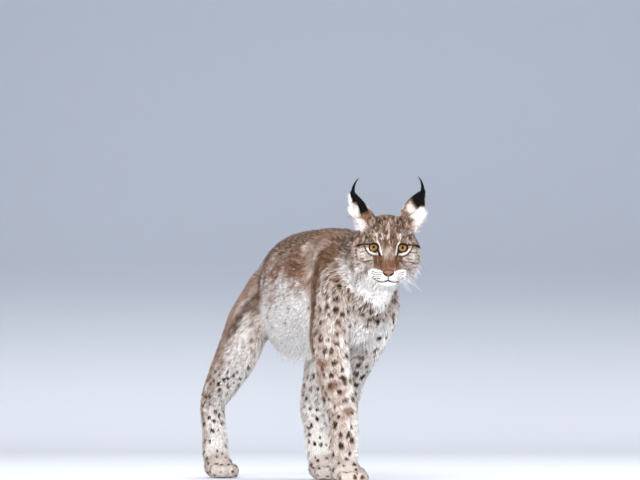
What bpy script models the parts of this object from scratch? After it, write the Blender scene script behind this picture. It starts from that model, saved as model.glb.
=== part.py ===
"""A Eurasian lynx in its winter coat, life size, walking with its head turned to its right.

Metres, +Z up. The lynx walks towards -Y, its left side is at +X, and its paws stand on z = 0.
"""

import math
import random
from collections import namedtuple

import bmesh
import bpy
import numpy as np
from mathutils import Matrix, Vector
from mathutils.bvhtree import BVHTree

# Driving sizes
WITHERS_PLACE = Vector((0.005, -0.122, 0.0))  # under the shoulders, from the origin under the middle
BACK_HEIGHT = 0.624
CHEST_HALF_WIDTH = 0.116
EYE_PLACE = Vector((-0.027, -0.306, 0.563))  # between the eyes, from the withers' place
HEAD_YAW, HEAD_PITCH, HEAD_ROLL = math.radians(-23), math.radians(20), math.radians(1)
EYE_SPACING = 0.068
EYE_RADIUS = 0.0132

BODY_VOXEL, BODY_SMOOTHING, BODY_TRIANGLES = 0.008, 6, 3800
HEAD_VOXEL, HEAD_SMOOTHING, HEAD_TRIANGLES = 0.0028, 12, 2700

Ring = namedtuple("Ring", "x y z side depth")  # side: half width across; depth: half height


def at(x, y, z):
    """A point given from the withers' place."""
    return Vector((x, y, z)) + WITHERS_PLACE


# The spine's line of sections, from the front of the chest to the rump
def torso_ring(y, back, belly, half_width):
    return Ring(0.0, y, (back + belly) / 2, half_width, (back - belly) / 2)


TORSO = [
    torso_ring(-0.150, 0.532, 0.395, 0.054),
    torso_ring(-0.105, 0.590, 0.352, 0.084),
    torso_ring(-0.030, 0.617, 0.336, 0.104),
    torso_ring(0.075, BACK_HEIGHT, 0.328, CHEST_HALF_WIDTH),
    torso_ring(0.180, 0.622, 0.311, 0.110),
    torso_ring(0.265, 0.618, 0.304, 0.103),
    torso_ring(0.330, 0.606, 0.312, 0.087),
    torso_ring(0.395, 0.587, 0.370, 0.062),
    torso_ring(0.450, 0.562, 0.395, 0.048),
    torso_ring(0.495, 0.534, 0.410, 0.036),
]
NECK = [
    Ring(0.0, -0.040, 0.500, 0.082, 0.098),
    Ring(0.004, -0.120, 0.520, 0.082, 0.092),
    Ring(0.010, -0.190, 0.552, 0.080, 0.084),
    Ring(0.008, -0.235, 0.572, 0.072, 0.072),
]
TAIL = [
    Ring(0.0, 0.485, 0.497, 0.034, 0.034),
    Ring(0.004, 0.530, 0.468, 0.029, 0.029),
    Ring(0.008, 0.560, 0.428, 0.028, 0.028),
    Ring(0.012, 0.573, 0.386, 0.028, 0.028),
    Ring(0.014, 0.576, 0.348, 0.020, 0.020),
]


def foreleg(side, shoulder, elbow, forearm, wrist, paw):
    """Sections down one foreleg. side is -1 for the right leg. Places are x, y, z."""
    return [
        Ring(side * 0.044, 0.015, 0.570, 0.030, 0.046),
        Ring(side * 0.066, shoulder[1] + 0.035, 0.510, 0.042, 0.068),
        Ring(*shoulder, 0.045, 0.071),
        Ring((shoulder[0] + elbow[0]) / 2, (shoulder[1] + elbow[1]) / 2, 0.393, 0.046, 0.067),
        Ring(*elbow, 0.045, 0.060),
        Ring(*forearm, 0.042, 0.049),
        Ring(*wrist, 0.036, 0.040),
        Ring(paw[0], paw[1] + 0.020, 0.070, 0.036, 0.037),
    ]


def hind_leg(side, thigh, stifle, shank, hock, paw):
    """Sections down one hind leg, from the hip to above the paw."""
    return [
        Ring(side * 0.048, 0.400, 0.485, 0.036, 0.066),
        Ring(*thigh, 0.047, 0.084),
        Ring(*stifle, 0.046, 0.078),
        Ring(*shank, 0.043, 0.056),
        Ring(*hock, 0.033, 0.037),
        Ring((hock[0] + paw[0]) / 2, (hock[1] + paw[1]) / 2 + 0.008, 0.115, 0.033, 0.032),
        Ring(paw[0], paw[1] + 0.022, 0.058, 0.035, 0.034),
    ]


LEGS = {
    "foreleg_right": foreleg(
        -1,
        (-0.074, -0.083, 0.440),
        (-0.081, -0.088, 0.345),
        (-0.078, -0.115, 0.250),
        (-0.074, -0.155, 0.155),
        (-0.072, -0.172),
    ),
    "foreleg_left": foreleg(
        1,
        (0.080, -0.032, 0.440),
        (0.077, 0.038, 0.350),
        (0.056, 0.104, 0.258),
        (0.050, 0.120, 0.155),
        (0.047, 0.100),
    ),
    "hind_leg_right": hind_leg(
        -1, (-0.078, 0.403, 0.408), (-0.094, 0.436, 0.330), (-0.106, 0.500, 0.258), (-0.112, 0.570, 0.190),
        (-0.104, 0.548)
    ),
    "hind_leg_left": hind_leg(
        1, (0.078, 0.380, 0.408), (0.093, 0.330, 0.345), (0.090, 0.345, 0.265), (0.085, 0.385, 0.185),
        (0.080, 0.305)
    ),
}
PAWS = {
    "foreleg_right": (-0.072, -0.180, 0.0),
    "foreleg_left": (0.047, 0.092, 0.0),
    "hind_leg_right": (-0.104, 0.540, 0.0),
    "hind_leg_left": (0.080, 0.297, 0.0),
}

# Head masses in the head's own frame: origin between the eyes, -Y the way it looks
HEAD_BALLS = [  # centre, radii, mirrored
    ((0.0, 0.057, 0.008), (0.062, 0.072, 0.055), False),
    ((0.0, 0.020, 0.012), (0.048, 0.033, 0.035), False),
    ((0.031, 0.010, 0.014), (0.023, 0.018, 0.012), True),
    ((0.043, 0.052, 0.038), (0.029, 0.030, 0.028), True),
    ((0.046, 0.030, -0.018), (0.030, 0.046, 0.034), True),
    ((0.0165, -0.047, -0.047), (0.0225, 0.026, 0.0180), True),
    ((0.0, -0.037, -0.0735), (0.027, 0.028, 0.0140), False),
    ((0.0, 0.001, -0.058), (0.047, 0.056, 0.034), False),
]
RUFF_BALLS = [((-0.060, 0.044, -0.036), (0.028, 0.036, 0.052)), ((0.054, 0.044, -0.034), (0.027, 0.036, 0.050))]
MUZZLE = [
    Ring(0.0, 0.012, -0.002, 0.026, 0.028),
    Ring(0.0, -0.020, -0.011, 0.0205, 0.024),
    Ring(0.0, -0.043, -0.0255, 0.0180, 0.018),
    Ring(0.0, -0.057, -0.0365, 0.0140, 0.0125),
]
THROAT = [
    Ring(0.0, 0.010, -0.045, 0.046, 0.040),
    Ring(0.0, 0.060, -0.040, 0.058, 0.056),
    Ring(0.0, 0.110, -0.020, 0.066, 0.066),
]
NOSE_CENTRE, NOSE_RADII = (0.0, -0.0670, -0.0392), (0.0140, 0.0105, 0.0092)
EAR_BASE = {"left": (0.0610, 0.060, 0.062), "right": (-0.0660, 0.055, 0.062)}
EAR_TIP = {"left": (0.0760, 0.052, 0.124), "right": (-0.0800, 0.043, 0.124)}
EAR_OPENING = {"left": (0.80, 0.58, 0.10), "right": (-0.92, -0.38, 0.10)}
GAP = 0.0003  # between two nodes that meet


def head_matrix():
    turn = Matrix.Rotation(HEAD_YAW, 4, "Z") @ Matrix.Rotation(HEAD_ROLL, 4, "Y")
    return Matrix.Translation(EYE_PLACE + WITHERS_PLACE) @ turn @ Matrix.Rotation(HEAD_PITCH, 4, "X")


def spline(rows, t):
    """The Catmull-Rom curve through rows of numbers, at t from 0 to len(rows) - 1."""
    i = min(int(t), len(rows) - 2)
    f = t - i
    a, b, c, d = (rows[min(max(j, 0), len(rows) - 1)] for j in (i - 1, i, i + 1, i + 2))
    return 0.5 * (2 * b + (c - a) * f + (2 * a - 5 * b + 4 * c - d) * f**2 + (3 * b - a - 3 * c + d) * f**3)


def ring_matrix(row, along):
    """The frame of one section: x across the animal, y through its depth, z along the limb."""
    along = along.normalized()
    depth = along.cross(Vector((1, 0, 0))).normalized()
    across = depth.cross(along)
    frame = Matrix((across * row[3], depth * row[4], along * (row[3] + row[4]) / 2)).transposed().to_4x4()
    frame.translation = row[:3]
    return frame


def skin_over(bm, frames, segments=16, round_ends=True):
    """A closed body through a row of circles. Each frame holds a circle's centre, its two radii and its way."""
    last = None
    for i, frame in enumerate(frames):
        made = bmesh.ops.create_circle(bm, segments=segments, radius=1, matrix=frame)["verts"]
        loop = list({e for v in made for e in v.link_edges})
        if last:
            bmesh.ops.bridge_loops(bm, edges=last + loop)
        else:
            bmesh.ops.contextual_create(bm, geom=loop)
        if round_ends and i in (0, len(frames) - 1):
            bmesh.ops.create_uvsphere(bm, u_segments=16, v_segments=10, radius=0.98, matrix=frame)
        last = loop
    bmesh.ops.contextual_create(bm, geom=last)


def loft(bm, rings, place=Matrix(), segments=16, per_span=3):
    """A limb or trunk through its sections, smoothly from one to the next. The trunk's stand upright."""
    rows = np.array([list(r) for r in rings])
    last = len(rows) - 1
    frames = []
    for t in np.linspace(0, last, last * per_span + 1):
        ahead, behind = spline(rows, min(t + 0.05, last)), spline(rows, max(t - 0.05, 0))
        along = Vector((0, 1, 0)) if rings is TORSO else Vector((ahead - behind)[:3])
        frames.append(place @ ring_matrix(spline(rows, t), along))
    skin_over(bm, frames, segments)


def ball(bm, centre, radii, place=Matrix()):
    frame = place @ Matrix.Translation(centre) @ Matrix.Diagonal((*radii, 1))
    bmesh.ops.create_uvsphere(bm, u_segments=20, v_segments=14, radius=1, matrix=frame)


def body_masses(bm):
    shift = Matrix.Translation(WITHERS_PLACE)
    for rings in (TORSO, NECK, TAIL, *LEGS.values()):
        loft(bm, rings, shift)
    for x, y, _ in PAWS.values():
        paw(bm, at(x, y, 0))


def paw(bm, place):
    """A broad winter paw with four toes, on a sole that is cut flat afterwards."""
    shift = Matrix.Translation(place)
    ball(bm, (0, 0.012, 0.030), (0.037, 0.042, 0.034), shift)
    for x, y in ((-0.026, -0.026), (-0.010, -0.040), (0.010, -0.040), (0.026, -0.026)):
        ball(bm, (x, y, 0.018), (0.0135, 0.021, 0.020), shift)


def head_masses(bm, place):
    for centre, radii, mirrored in HEAD_BALLS:
        ball(bm, centre, radii, place)
        if mirrored:
            ball(bm, (-centre[0], *centre[1:]), radii, place)
    for centre, radii in RUFF_BALLS:
        ball(bm, centre, radii, place)
    loft(bm, MUZZLE, place)
    loft(bm, THROAT, place)


def object_of(name, bm, collection):
    mesh = bpy.data.meshes.new(name)
    bmesh.ops.recalc_face_normals(bm, faces=bm.faces)
    bm.to_mesh(mesh)
    bm.free()
    made = bpy.data.objects.new(name, mesh)
    collection.objects.link(made)
    if collection.hide_render:
        made.display_type = "WIRE"
    return made


def apply_modifiers(obj):
    """Keeps the shape that the modifiers give, and drops the modifiers."""
    bpy.context.view_layer.update()
    shaped = obj.evaluated_get(bpy.context.evaluated_depsgraph_get())
    mesh = bpy.data.meshes.new_from_object(shaped)
    obj.modifiers.clear()
    obj.data = mesh
    return obj


def keep_largest(obj):
    """Drops every loose scrap that a Boolean left, and merges points that fell together."""
    bm = bmesh.new()
    bm.from_mesh(obj.data)
    bmesh.ops.remove_doubles(bm, verts=bm.verts, dist=2e-6)
    left, islands = set(bm.verts), []
    while left:
        island, edge_of = set(), [left.pop()]
        while edge_of:
            vert = edge_of.pop()
            island.add(vert)
            near = {e.other_vert(vert) for e in vert.link_edges} & left
            left -= near
            edge_of.extend(near)
        islands.append(island)
    islands.sort(key=len)
    for island in islands[:-1]:
        bmesh.ops.delete(bm, geom=list(island), context="VERTS")
    bmesh.ops.triangulate(bm, faces=bm.faces)
    bm.to_mesh(obj.data)
    bm.free()


def fuse(obj, voxel, smoothing, triangles):
    """One smooth skin round all the overlapping masses of obj."""
    remesh = obj.modifiers.new("Remesh", "REMESH")
    remesh.mode = "VOXEL"
    remesh.voxel_size = voxel
    smooth = obj.modifiers.new("Smooth", "SMOOTH")
    smooth.iterations = smoothing
    apply_modifiers(obj)
    thin = obj.modifiers.new("Decimate", "DECIMATE")
    thin.ratio = triangles / (2 * len(obj.data.polygons))
    return apply_modifiers(obj)


def boolean(obj, operation, cutter, solver="EXACT"):
    made = obj.modifiers.new(operation.title(), "BOOLEAN")
    made.operation = operation
    made.solver = solver
    if isinstance(cutter, bpy.types.Collection):
        made.operand_type = "COLLECTION"
        made.collection = cutter
    else:
        made.object = cutter
    return apply_modifiers(obj)


def cell(name, planes, collection, grow):
    """A convex cutter, the space behind all the planes. Each plane is a point and an outward normal."""
    bm = bmesh.new()
    bmesh.ops.create_cube(bm, size=4)
    for point, normal in planes:
        normal = Vector(normal).normalized()
        geom = bm.verts[:] + bm.edges[:] + bm.faces[:]
        place = Vector(point) + normal * grow
        cut = bmesh.ops.bisect_plane(bm, geom=geom, plane_co=place, plane_no=normal, clear_outer=True)
        rim = [e for e in cut["geom_cut"] if isinstance(e, bmesh.types.BMEdge)]
        if rim:
            bmesh.ops.contextual_create(bm, geom=rim)
    return object_of(name, bm, collection)


NECK_HEAD = (at(0.010, -0.190, 0.55), (0.21, 0.978, 0.0))
NECK_CHEST = (at(0, -0.100, 0.50), (0, 0.9, -0.43))
CHEST_LOIN = (at(0, 0.120, 0.5), (0, 1, 0))
LOIN_RUMP = (at(0, 0.275, 0.5), (0, 1, 0))
RUMP_TAIL = (at(0, 0.520, 0.475), (0, 1, -0.15))
TAIL_TIP = (at(0, 0.573, 0.398), (0, 0.1, 1))
FLOOR = (Vector((0, 0, -GAP / 2)), (0, 0, -1))
WRIST, ANKLE, STIFLE = 0.105, 0.088, 0.300


def back_of(plane):
    return plane[0], -Vector(plane[1])


def below(z):
    return Vector((0, 0, z)), (0, 0, 1)


def above(z):
    return Vector((0, 0, z)), (0, 0, -1)


def leg_planes(side, top, *ends):
    """The space of one leg: its side of the middle below, and only the flank higher up."""
    middle = at(0, 0, 0.31)
    return [
        (middle, (-side, 0, 0)),
        (middle, (-side * 0.16, 0, 0.055)),
        (at(0, 0, top), (-side * 0.25, 0, 1)),
        *ends,
    ]


FORE_RIGHT = leg_planes(-1, 0.478, (at(0, 0.004, 0.47), (0, 1, 0.1)), back_of(NECK_HEAD))
FORE_LEFT = leg_planes(
    1, 0.478, (at(0, 0.055, 0.47), (0, 1, 0.5)), (at(0, 0.19, 0), (0, 1, 0)), back_of(NECK_HEAD)
)
HIND_RIGHT = leg_planes(-1, 0.455, (at(0, 0.275, 0), (0, -1, 0)))
HIND_LEFT = leg_planes(1, 0.455, (at(0, 0.235, 0.31), (0, -1, 0.45)), (at(0, 0.20, 0), (0, -1, 0)))
THIGH_BACK = (at(0, 0.535, 0), (0, 1, 0))
LIMB_CELLS = {
    "foreleg_right": [*FORE_RIGHT, above(WRIST)],
    "forepaw_right": [*FORE_RIGHT, below(WRIST), FLOOR],
    "foreleg_left": [*FORE_LEFT, above(WRIST)],
    "forepaw_left": [*FORE_LEFT, below(WRIST), FLOOR],
    "thigh_right": [*HIND_RIGHT, above(STIFLE), THIGH_BACK],
    "hindleg_right": [*HIND_RIGHT, below(STIFLE), above(ANKLE)],
    "hindpaw_right": [*HIND_RIGHT, below(ANKLE), FLOOR],
    "thigh_left": [*HIND_LEFT, above(STIFLE), THIGH_BACK],
    "hindleg_left": [*HIND_LEFT, below(STIFLE), above(ANKLE)],
    "hindpaw_left": [*HIND_LEFT, below(ANKLE), FLOOR],
}
TRUNK_CELLS = {  # the planes of each node of the trunk, and the limb cells taken out of it
    "neck": ([back_of(NECK_HEAD), NECK_CHEST], ["foreleg_right", "foreleg_left"]),
    "chest": ([back_of(NECK_CHEST), CHEST_LOIN], ["foreleg_right", "foreleg_left", "forepaw_right"]),
    "loin": ([back_of(CHEST_LOIN), LOIN_RUMP, above(0.25)], ["foreleg_left", "thigh_left"]),
    "rump": ([back_of(LOIN_RUMP), RUMP_TAIL, above(STIFLE)], ["thigh_right", "thigh_left"]),
    "tail": ([back_of(RUMP_TAIL), above(STIFLE), back_of(TAIL_TIP)], ["thigh_right", "thigh_left"]),
    "tail_tip": ([back_of(RUMP_TAIL), above(STIFLE), TAIL_TIP], ["thigh_right", "thigh_left"]),
}
COATS = {  # colour of each node
    "head": (0.42, 0.34, 0.26),
    "neck": (0.47, 0.39, 0.31),
    "chest": (0.44, 0.36, 0.28),
    "loin": (0.50, 0.42, 0.33),
    "rump": (0.40, 0.31, 0.24),
    "tail": (0.45, 0.35, 0.26),
    "tail_tip": (0.03, 0.028, 0.027),
    "ear_left": (0.09, 0.08, 0.075),
    "ear_right": (0.09, 0.08, 0.075),
    "nose": (0.42, 0.20, 0.15),
    "eye_left": (0.50, 0.33, 0.09),
    "eye_right": (0.50, 0.33, 0.09),
}


def coat_material(name):
    made = bpy.data.materials.new(name)
    made.use_nodes = True
    shader = made.node_tree.nodes["Principled BSDF"]
    leg = (0.55, 0.45, 0.36)
    shader.inputs["Base Color"].default_value = (*COATS.get(name, leg), 1)
    shader.inputs["Roughness"].default_value = 0.12 if name.startswith("eye") else 0.85
    shader.inputs["Metallic"].default_value = 0.0
    return made


def copy_of(source, name, collection):
    made = bpy.data.objects.new(name, source.data.copy())
    collection.objects.link(made)
    return made


def body_nodes(source, lynx, cutters):
    """Every node of the trunk and the legs, cut from one skin, so that each meets its neighbour's outline."""
    grown = {name: cell("around_" + name, planes, cutters, GAP / 2) for name, planes in LIMB_CELLS.items()}
    for name, planes in LIMB_CELLS.items():
        node = copy_of(source, name, lynx)
        boolean(node, "INTERSECT", cell("cell_" + name, planes, cutters, -GAP / 2))
    for name, (planes, taken) in TRUNK_CELLS.items():
        node = copy_of(source, name, lynx)
        boolean(node, "INTERSECT", cell("cell_" + name, planes, cutters, -GAP / 2))
        for other in taken:
            boolean(node, "DIFFERENCE", grown[other])


def lock(name, collection, root, way, face, length, width, thickness, bend):
    """One flat tapered lock of fur from a root inside the skin. face is the way its flat side looks."""
    way, bend = Vector(way).normalized(), Vector(bend)
    bm = bmesh.new()
    frames = []
    for t, size in ((0.0, 0.70), (0.38, 1.0), (0.72, 0.62), (1.0, 0.10)):
        along = (way + bend * t * 2).normalized()
        across = along.cross(Vector(face)).normalized()
        thick = across.cross(along)
        columns = (across * width * size / 2, thick * thickness * size / 2, along * width)
        frame = Matrix(columns).transposed().to_4x4()
        frame.translation = Vector(root) + way * length * t + bend * length * t * t
        frames.append(frame)
    skin_over(bm, frames, 4, False)
    return object_of(name, bm, collection)


EAR_RINGS = [  # how far up, half width, half depth
    (-0.16, 0.026, 0.019),
    (0.0, 0.029, 0.020),
    (0.25, 0.0285, 0.0165),
    (0.5, 0.0235, 0.0115),
    (0.75, 0.0145, 0.0070),
    (1.0, 0.0034, 0.0034),
]


def ear_axes(side):
    """The ear's base and its up, opening and width directions, all unit except up, in the head's frame."""
    base, tip = Vector(EAR_BASE[side]), Vector(EAR_TIP[side])
    up = tip - base
    opening = Vector(EAR_OPENING[side])
    opening = (opening - opening.project(up)).normalized()
    return base, up, opening, up.cross(opening).normalized()


def ear_frame(side, t, half_width, half_depth, shift):
    """One section of an ear. The ear leans back a little as it rises."""
    base, up, opening, across = ear_axes(side)
    lean = opening * (0.012 * t * t - 0.004)
    columns = (across * half_width, opening * half_depth, up.normalized() * half_width)
    frame = Matrix(columns).transposed().to_4x4()
    frame.translation = base + up * t + lean + opening * shift
    return head_matrix() @ frame


def ear_body(side, collection, name, grow=0.0):
    bm = bmesh.new()
    frames = []
    for row in np.array(EAR_RINGS):
        frames.append(ear_frame(side, row[0], row[1] + grow, row[2] + grow, 0.0))
    frames[0].translation -= (frames[1].translation - frames[0].translation).normalized() * grow
    skin_over(bm, frames, 16, False)
    return object_of(name, bm, collection)


def ear_cup(side, collection):
    bm = bmesh.new()
    rows = np.array(EAR_RINGS[1:])
    frames = []
    for t in np.linspace(0.06, 0.86, 6):
        k = min(t / 0.25, len(rows) - 1.001)
        _, half_width, half_depth = spline(rows, k)
        frames.append(ear_frame(side, t, half_width * 0.82, half_depth * 1.1, half_depth * 0.52))
    skin_over(bm, frames, 16, False)
    return object_of("cup_" + side, bm, collection)


def ear_node(side, lynx, cutters):
    node = ear_body(side, lynx, "ear_" + side)
    boolean(node, "DIFFERENCE", ear_cup(side, cutters))
    return node


def tube(name, points, radius, collection):
    """A thin round cutter along points, for a line pressed into the skin."""
    bm = bmesh.new()
    points = [Vector(q) for q in points]
    frames = []
    for i, point in enumerate(points):
        along = (points[min(i + 1, len(points) - 1)] - points[max(i - 1, 0)]).normalized()
        across = along.cross(Vector((0, 1, 0.3))).normalized()
        frame = Matrix((across * radius, along.cross(across) * radius, along * radius)).transposed().to_4x4()
        frame.translation = point
        frames.append(frame)
    skin_over(bm, frames, 8, False)
    return object_of(name, bm, collection)


def surface_tree(obj):
    return BVHTree.FromPolygons([v.co for v in obj.data.vertices], [p.vertices[:] for p in obj.data.polygons])


def on_face(tree, x, z):
    """The point of the face straight behind x, z, in the head's frame."""
    place = head_matrix()
    hit = tree.ray_cast(place @ Vector((x, -0.2, z)), place.to_3x3() @ Vector((0, 1, 0)))[0]
    return hit


MOUTH = [  # across and up from the middle of the lips to a corner, in the head's frame
    (0.0, -0.0615),
    (0.006, -0.0640),
    (0.014, -0.0665),
    (0.023, -0.0675),
    (0.031, -0.0675),
    (0.038, -0.0661),
]


def eye_opening(side, cutters):
    """The almond between the lids, as a prism that runs forward out of the face."""
    bm = bmesh.new()
    place = head_matrix() @ Matrix.Translation((side * EYE_SPACING / 2, 0, 0))
    place = place @ Matrix.Rotation(math.radians(-9 * side), 4, "Y")
    loops = []
    for y in (-0.004, -0.030):
        rim = []
        for k in range(20):
            angle = math.tau * k / 20
            x = 0.0127 * math.cos(angle)
            z = 0.0108 * math.copysign(abs(math.sin(angle)) ** 1.2, math.sin(angle))
            rim.append(bm.verts.new(place @ Vector((x, y, z))))
        loops.append(rim)
    edges = [bm.edges.new((rim[k - 1], rim[k])) for rim in loops for k in range(20)]
    bmesh.ops.bridge_loops(bm, edges=edges)
    for rim in loops:
        bmesh.ops.contextual_create(bm, geom=rim)
    return object_of(f"opening_{side}", bm, cutters)


def fringe(head_tree, collection, rng):
    """The cheek ruff and the beard: locks in rows from below each ear round to the throat."""
    place = head_matrix()
    turn = place.to_3x3()
    made = 0
    for side in (-1, 1):
        for row, back, steps in ((0, 0.014, 11), (1, 0.040, 12), (2, 0.066, 11)):
            for k in range(steps):
                angle = math.radians(28 - 116 * (k + 0.5 * (row % 2)) / steps + rng.uniform(-2, 2))
                out = Vector((side * math.cos(angle), 0, math.sin(angle)))
                down = Vector((side * math.sin(angle), 0, -math.cos(angle))) * math.cos(angle)
                start = Vector((0, back, -0.030)) + out * 0.15
                root, normal = head_tree.ray_cast(place @ start, turn @ -out)[:2]
                if root is None:
                    continue
                way = turn @ (out * (0.34 + 0.12 * row) + down * 0.85 + Vector((0, 0.16, -0.18)))
                length = rng.uniform(0.040, 0.052) * (0.8 + 0.30 * math.sin(math.radians(min(90, k * 9))))
                bend = turn @ (-out * 0.15)
                lock(f"lock{made}", collection, root - normal * 0.008, way, normal, length, 0.020, 0.0080, bend)
                made += 1
    for k in range(15):
        x, back = -0.032 + 0.016 * (k % 5) + rng.uniform(-0.003, 0.003), -0.030 + 0.026 * (k // 5)
        root, normal = head_tree.ray_cast(place @ Vector((x, back, -0.25)), turn @ Vector((0, 0, 1)))[:2]
        if root is not None:
            way = turn @ Vector((x * 5, 0.30, -1))
            length = rng.uniform(0.028, 0.038)
            bend = turn @ Vector((0, -0.10, 0))
            lock(f"beard{k}", collection, root - normal * 0.008, way, turn @ Vector((0, 1, 0)), length, 0.016, 0.007, bend)


def ear_locks(side, collection, rng):
    """The long black tuft on an ear's tip and the pale fringe along its front and outer edges."""
    base, up, opening, across = ear_axes(side)
    turn = head_matrix().to_3x3()
    inward = Vector((-1 if side == "left" else 1, 0, 0))
    for k in range(4):
        start = ear_frame(side, 0.90 + 0.014 * k, 0.003, 0.003, 0.0).translation
        way = turn @ (up.normalized() + inward * (0.05 if side == "right" else 0.25))
        way = way + turn @ across * rng.uniform(-0.12, 0.12)
        bend = turn @ (inward * rng.uniform(0.40, 0.55))
        length = 0.041 - 0.006 * k
        lock(f"tuft{k}", collection, start, way, turn @ opening, length, 0.0075, 0.0050, bend)
    for edge in (-1, 1):
        for k in range(5):
            t = 0.17 + 0.125 * k
            rows = np.array(EAR_RINGS[1:])
            _, half_width, half_depth = spline(rows, t / 0.25)
            frame = ear_frame(side, t, half_width, half_depth, 0.0)
            root = frame @ Vector((edge * 0.90, 0.10, 0))
            way = turn @ (across * edge * 0.22 + opening * 0.50 + up.normalized() * 0.9)
            length = rng.uniform(0.020, 0.026)
            bend = turn @ (opening * -0.15)
            lock(f"fringe{edge}{k}", collection, root, way, turn @ across, length, 0.0095, 0.0036, bend)


def fuse_locks(obj, collection):
    """Joins every lock of the collection to obj in one Boolean, then clears the collection."""
    boolean(obj, "UNION", collection, "MANIFOLD")
    for piece in list(collection.objects):
        bpy.data.objects.remove(piece)
    bpy.data.collections.remove(collection)


def round_piece(name, collection, centre, radii, place, rings=(16, 12)):
    bm = bmesh.new()
    frame = place @ Matrix.Translation(centre) @ Matrix.Diagonal((*radii, 1))
    bmesh.ops.create_uvsphere(bm, u_segments=rings[0], v_segments=rings[1], radius=1, matrix=frame)
    return object_of(name, bm, collection)


def head_node(source, lynx, cutters):
    place = head_matrix()
    head = copy_of(source, "head", lynx)
    tree = surface_tree(head)
    for side in (-1, 1):
        centre = (side * EYE_SPACING / 2, 0, 0)
        boolean(head, "UNION", round_piece("lids", cutters, centre, [EYE_RADIUS + 0.0026] * 3, place))
        boolean(head, "DIFFERENCE", eye_opening(side, cutters))
        boolean(head, "DIFFERENCE", round_piece("socket", cutters, centre, [EYE_RADIUS + GAP] * 3, place))
        line = [on_face(tree, side * x, z) for x, z in MOUTH]
        boolean(head, "DIFFERENCE", tube("mouth", line, 0.0022, cutters))
    line = [on_face(tree, 0, z) for z in (-0.048, -0.053, -0.058, -0.0620)]
    boolean(head, "DIFFERENCE", tube("philtrum", line, 0.0011, cutters))
    return head


def nose_node(lynx, cutters):
    place = head_matrix()
    nose = round_piece("nose", lynx, NOSE_CENTRE, NOSE_RADII, place)
    for side in (-1, 1):
        hole = (side * 0.0072, NOSE_CENTRE[1] - 0.0090, NOSE_CENTRE[2] - 0.0025)
        boolean(nose, "DIFFERENCE", round_piece("nostril", cutters, hole, (0.0028, 0.0040, 0.0020), place, (12, 8)))
    return nose


def new_collection(name, cutters=False):
    made = bpy.data.collections.new(name)
    made.hide_render = cutters
    bpy.context.scene.collection.children.link(made)
    return made


def main():
    for obj in list(bpy.data.objects):
        bpy.data.objects.remove(obj)
    lynx, cutters = new_collection("Lynx"), new_collection("Lynx cutters", True)
    place, shift = head_matrix(), Matrix.Translation(WITHERS_PLACE)
    rng = random.Random(7)

    bm = bmesh.new()
    body_masses(bm)
    ball(bm, HEAD_BALLS[0][0], HEAD_BALLS[0][1], place)
    loft(bm, THROAT, place)
    body = fuse(object_of("body_skin", bm, cutters), BODY_VOXEL, BODY_SMOOTHING, BODY_TRIANGLES)
    body_nodes(body, lynx, cutters)

    bm = bmesh.new()
    head_masses(bm, place)
    loft(bm, NECK, shift)
    skin = fuse(object_of("head_skin", bm, cutters), HEAD_VOXEL, HEAD_SMOOTHING, HEAD_TRIANGLES)
    tree = surface_tree(skin)
    head = head_node(skin, lynx, cutters)
    locks = new_collection("Lynx locks", True)
    fringe(tree, locks, rng)
    fuse_locks(head, locks)
    for side in ("left", "right"):
        boolean(head, "DIFFERENCE", ear_body(side, cutters, "around_ear_" + side, GAP))
        ear = ear_node(side, lynx, cutters)
        locks = new_collection("Ear locks", True)
        ear_locks(side, locks, rng)
        fuse_locks(ear, locks)
    around_nose = [r + GAP for r in NOSE_RADII]
    boolean(head, "DIFFERENCE", round_piece("around_nose", cutters, NOSE_CENTRE, around_nose, place))
    boolean(head, "INTERSECT", cell("cell_head", [NECK_HEAD], cutters, -GAP / 2))
    nose_node(lynx, cutters)
    for side, name in ((-1, "eye_right"), (1, "eye_left")):
        round_piece(name, lynx, (side * EYE_SPACING / 2, 0, 0), [EYE_RADIUS] * 3, place)

    for obj in list(cutters.objects):
        bpy.data.objects.remove(obj)
    bpy.data.collections.remove(cutters)
    for node in lynx.objects:
        keep_largest(node)
        node.data.materials.clear()
        node.data.materials.append(coat_material(node.name))
        node.data.shade_smooth()


main()
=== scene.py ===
"""The looks of a Eurasian lynx in its winter coat: one skin under a coat of fur tufts, with eyes, lids, nose, lips and whiskers.

Metres, +Z up. The lynx walks towards -Y, its left side is at +X, and its paws stand on z = 0.
"""

import math
from collections import namedtuple

import bmesh
import bpy
import numpy as np
from mathutils import Matrix, Vector
from mathutils.bvhtree import BVHTree
from mathutils.kdtree import KDTree


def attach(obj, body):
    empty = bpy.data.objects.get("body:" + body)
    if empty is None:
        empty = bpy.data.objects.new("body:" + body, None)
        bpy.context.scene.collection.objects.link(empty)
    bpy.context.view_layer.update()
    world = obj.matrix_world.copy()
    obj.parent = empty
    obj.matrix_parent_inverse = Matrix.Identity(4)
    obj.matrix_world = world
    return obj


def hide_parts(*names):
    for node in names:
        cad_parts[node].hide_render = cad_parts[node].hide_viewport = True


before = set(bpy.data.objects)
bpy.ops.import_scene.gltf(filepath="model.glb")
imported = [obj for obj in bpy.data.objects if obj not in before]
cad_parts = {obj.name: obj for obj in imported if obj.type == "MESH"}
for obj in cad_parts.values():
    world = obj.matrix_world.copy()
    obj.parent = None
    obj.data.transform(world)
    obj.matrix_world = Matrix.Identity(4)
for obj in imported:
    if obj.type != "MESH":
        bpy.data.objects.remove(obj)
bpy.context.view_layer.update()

# The body's sizes, the same as in the solids
WITHERS_PLACE = Vector((0.005, -0.122, 0.0))
BACK_HEIGHT = 0.624
CHEST_HALF_WIDTH = 0.116
EYE_PLACE = Vector((-0.027, -0.306, 0.563))
HEAD_YAW, HEAD_PITCH, HEAD_ROLL = math.radians(-23), math.radians(20), math.radians(1)
EYE_SPACING = 0.068
EYE_RADIUS = 0.0132
Ring = namedtuple("Ring", "x y z side depth")  # side: half width across; depth: half height


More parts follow.
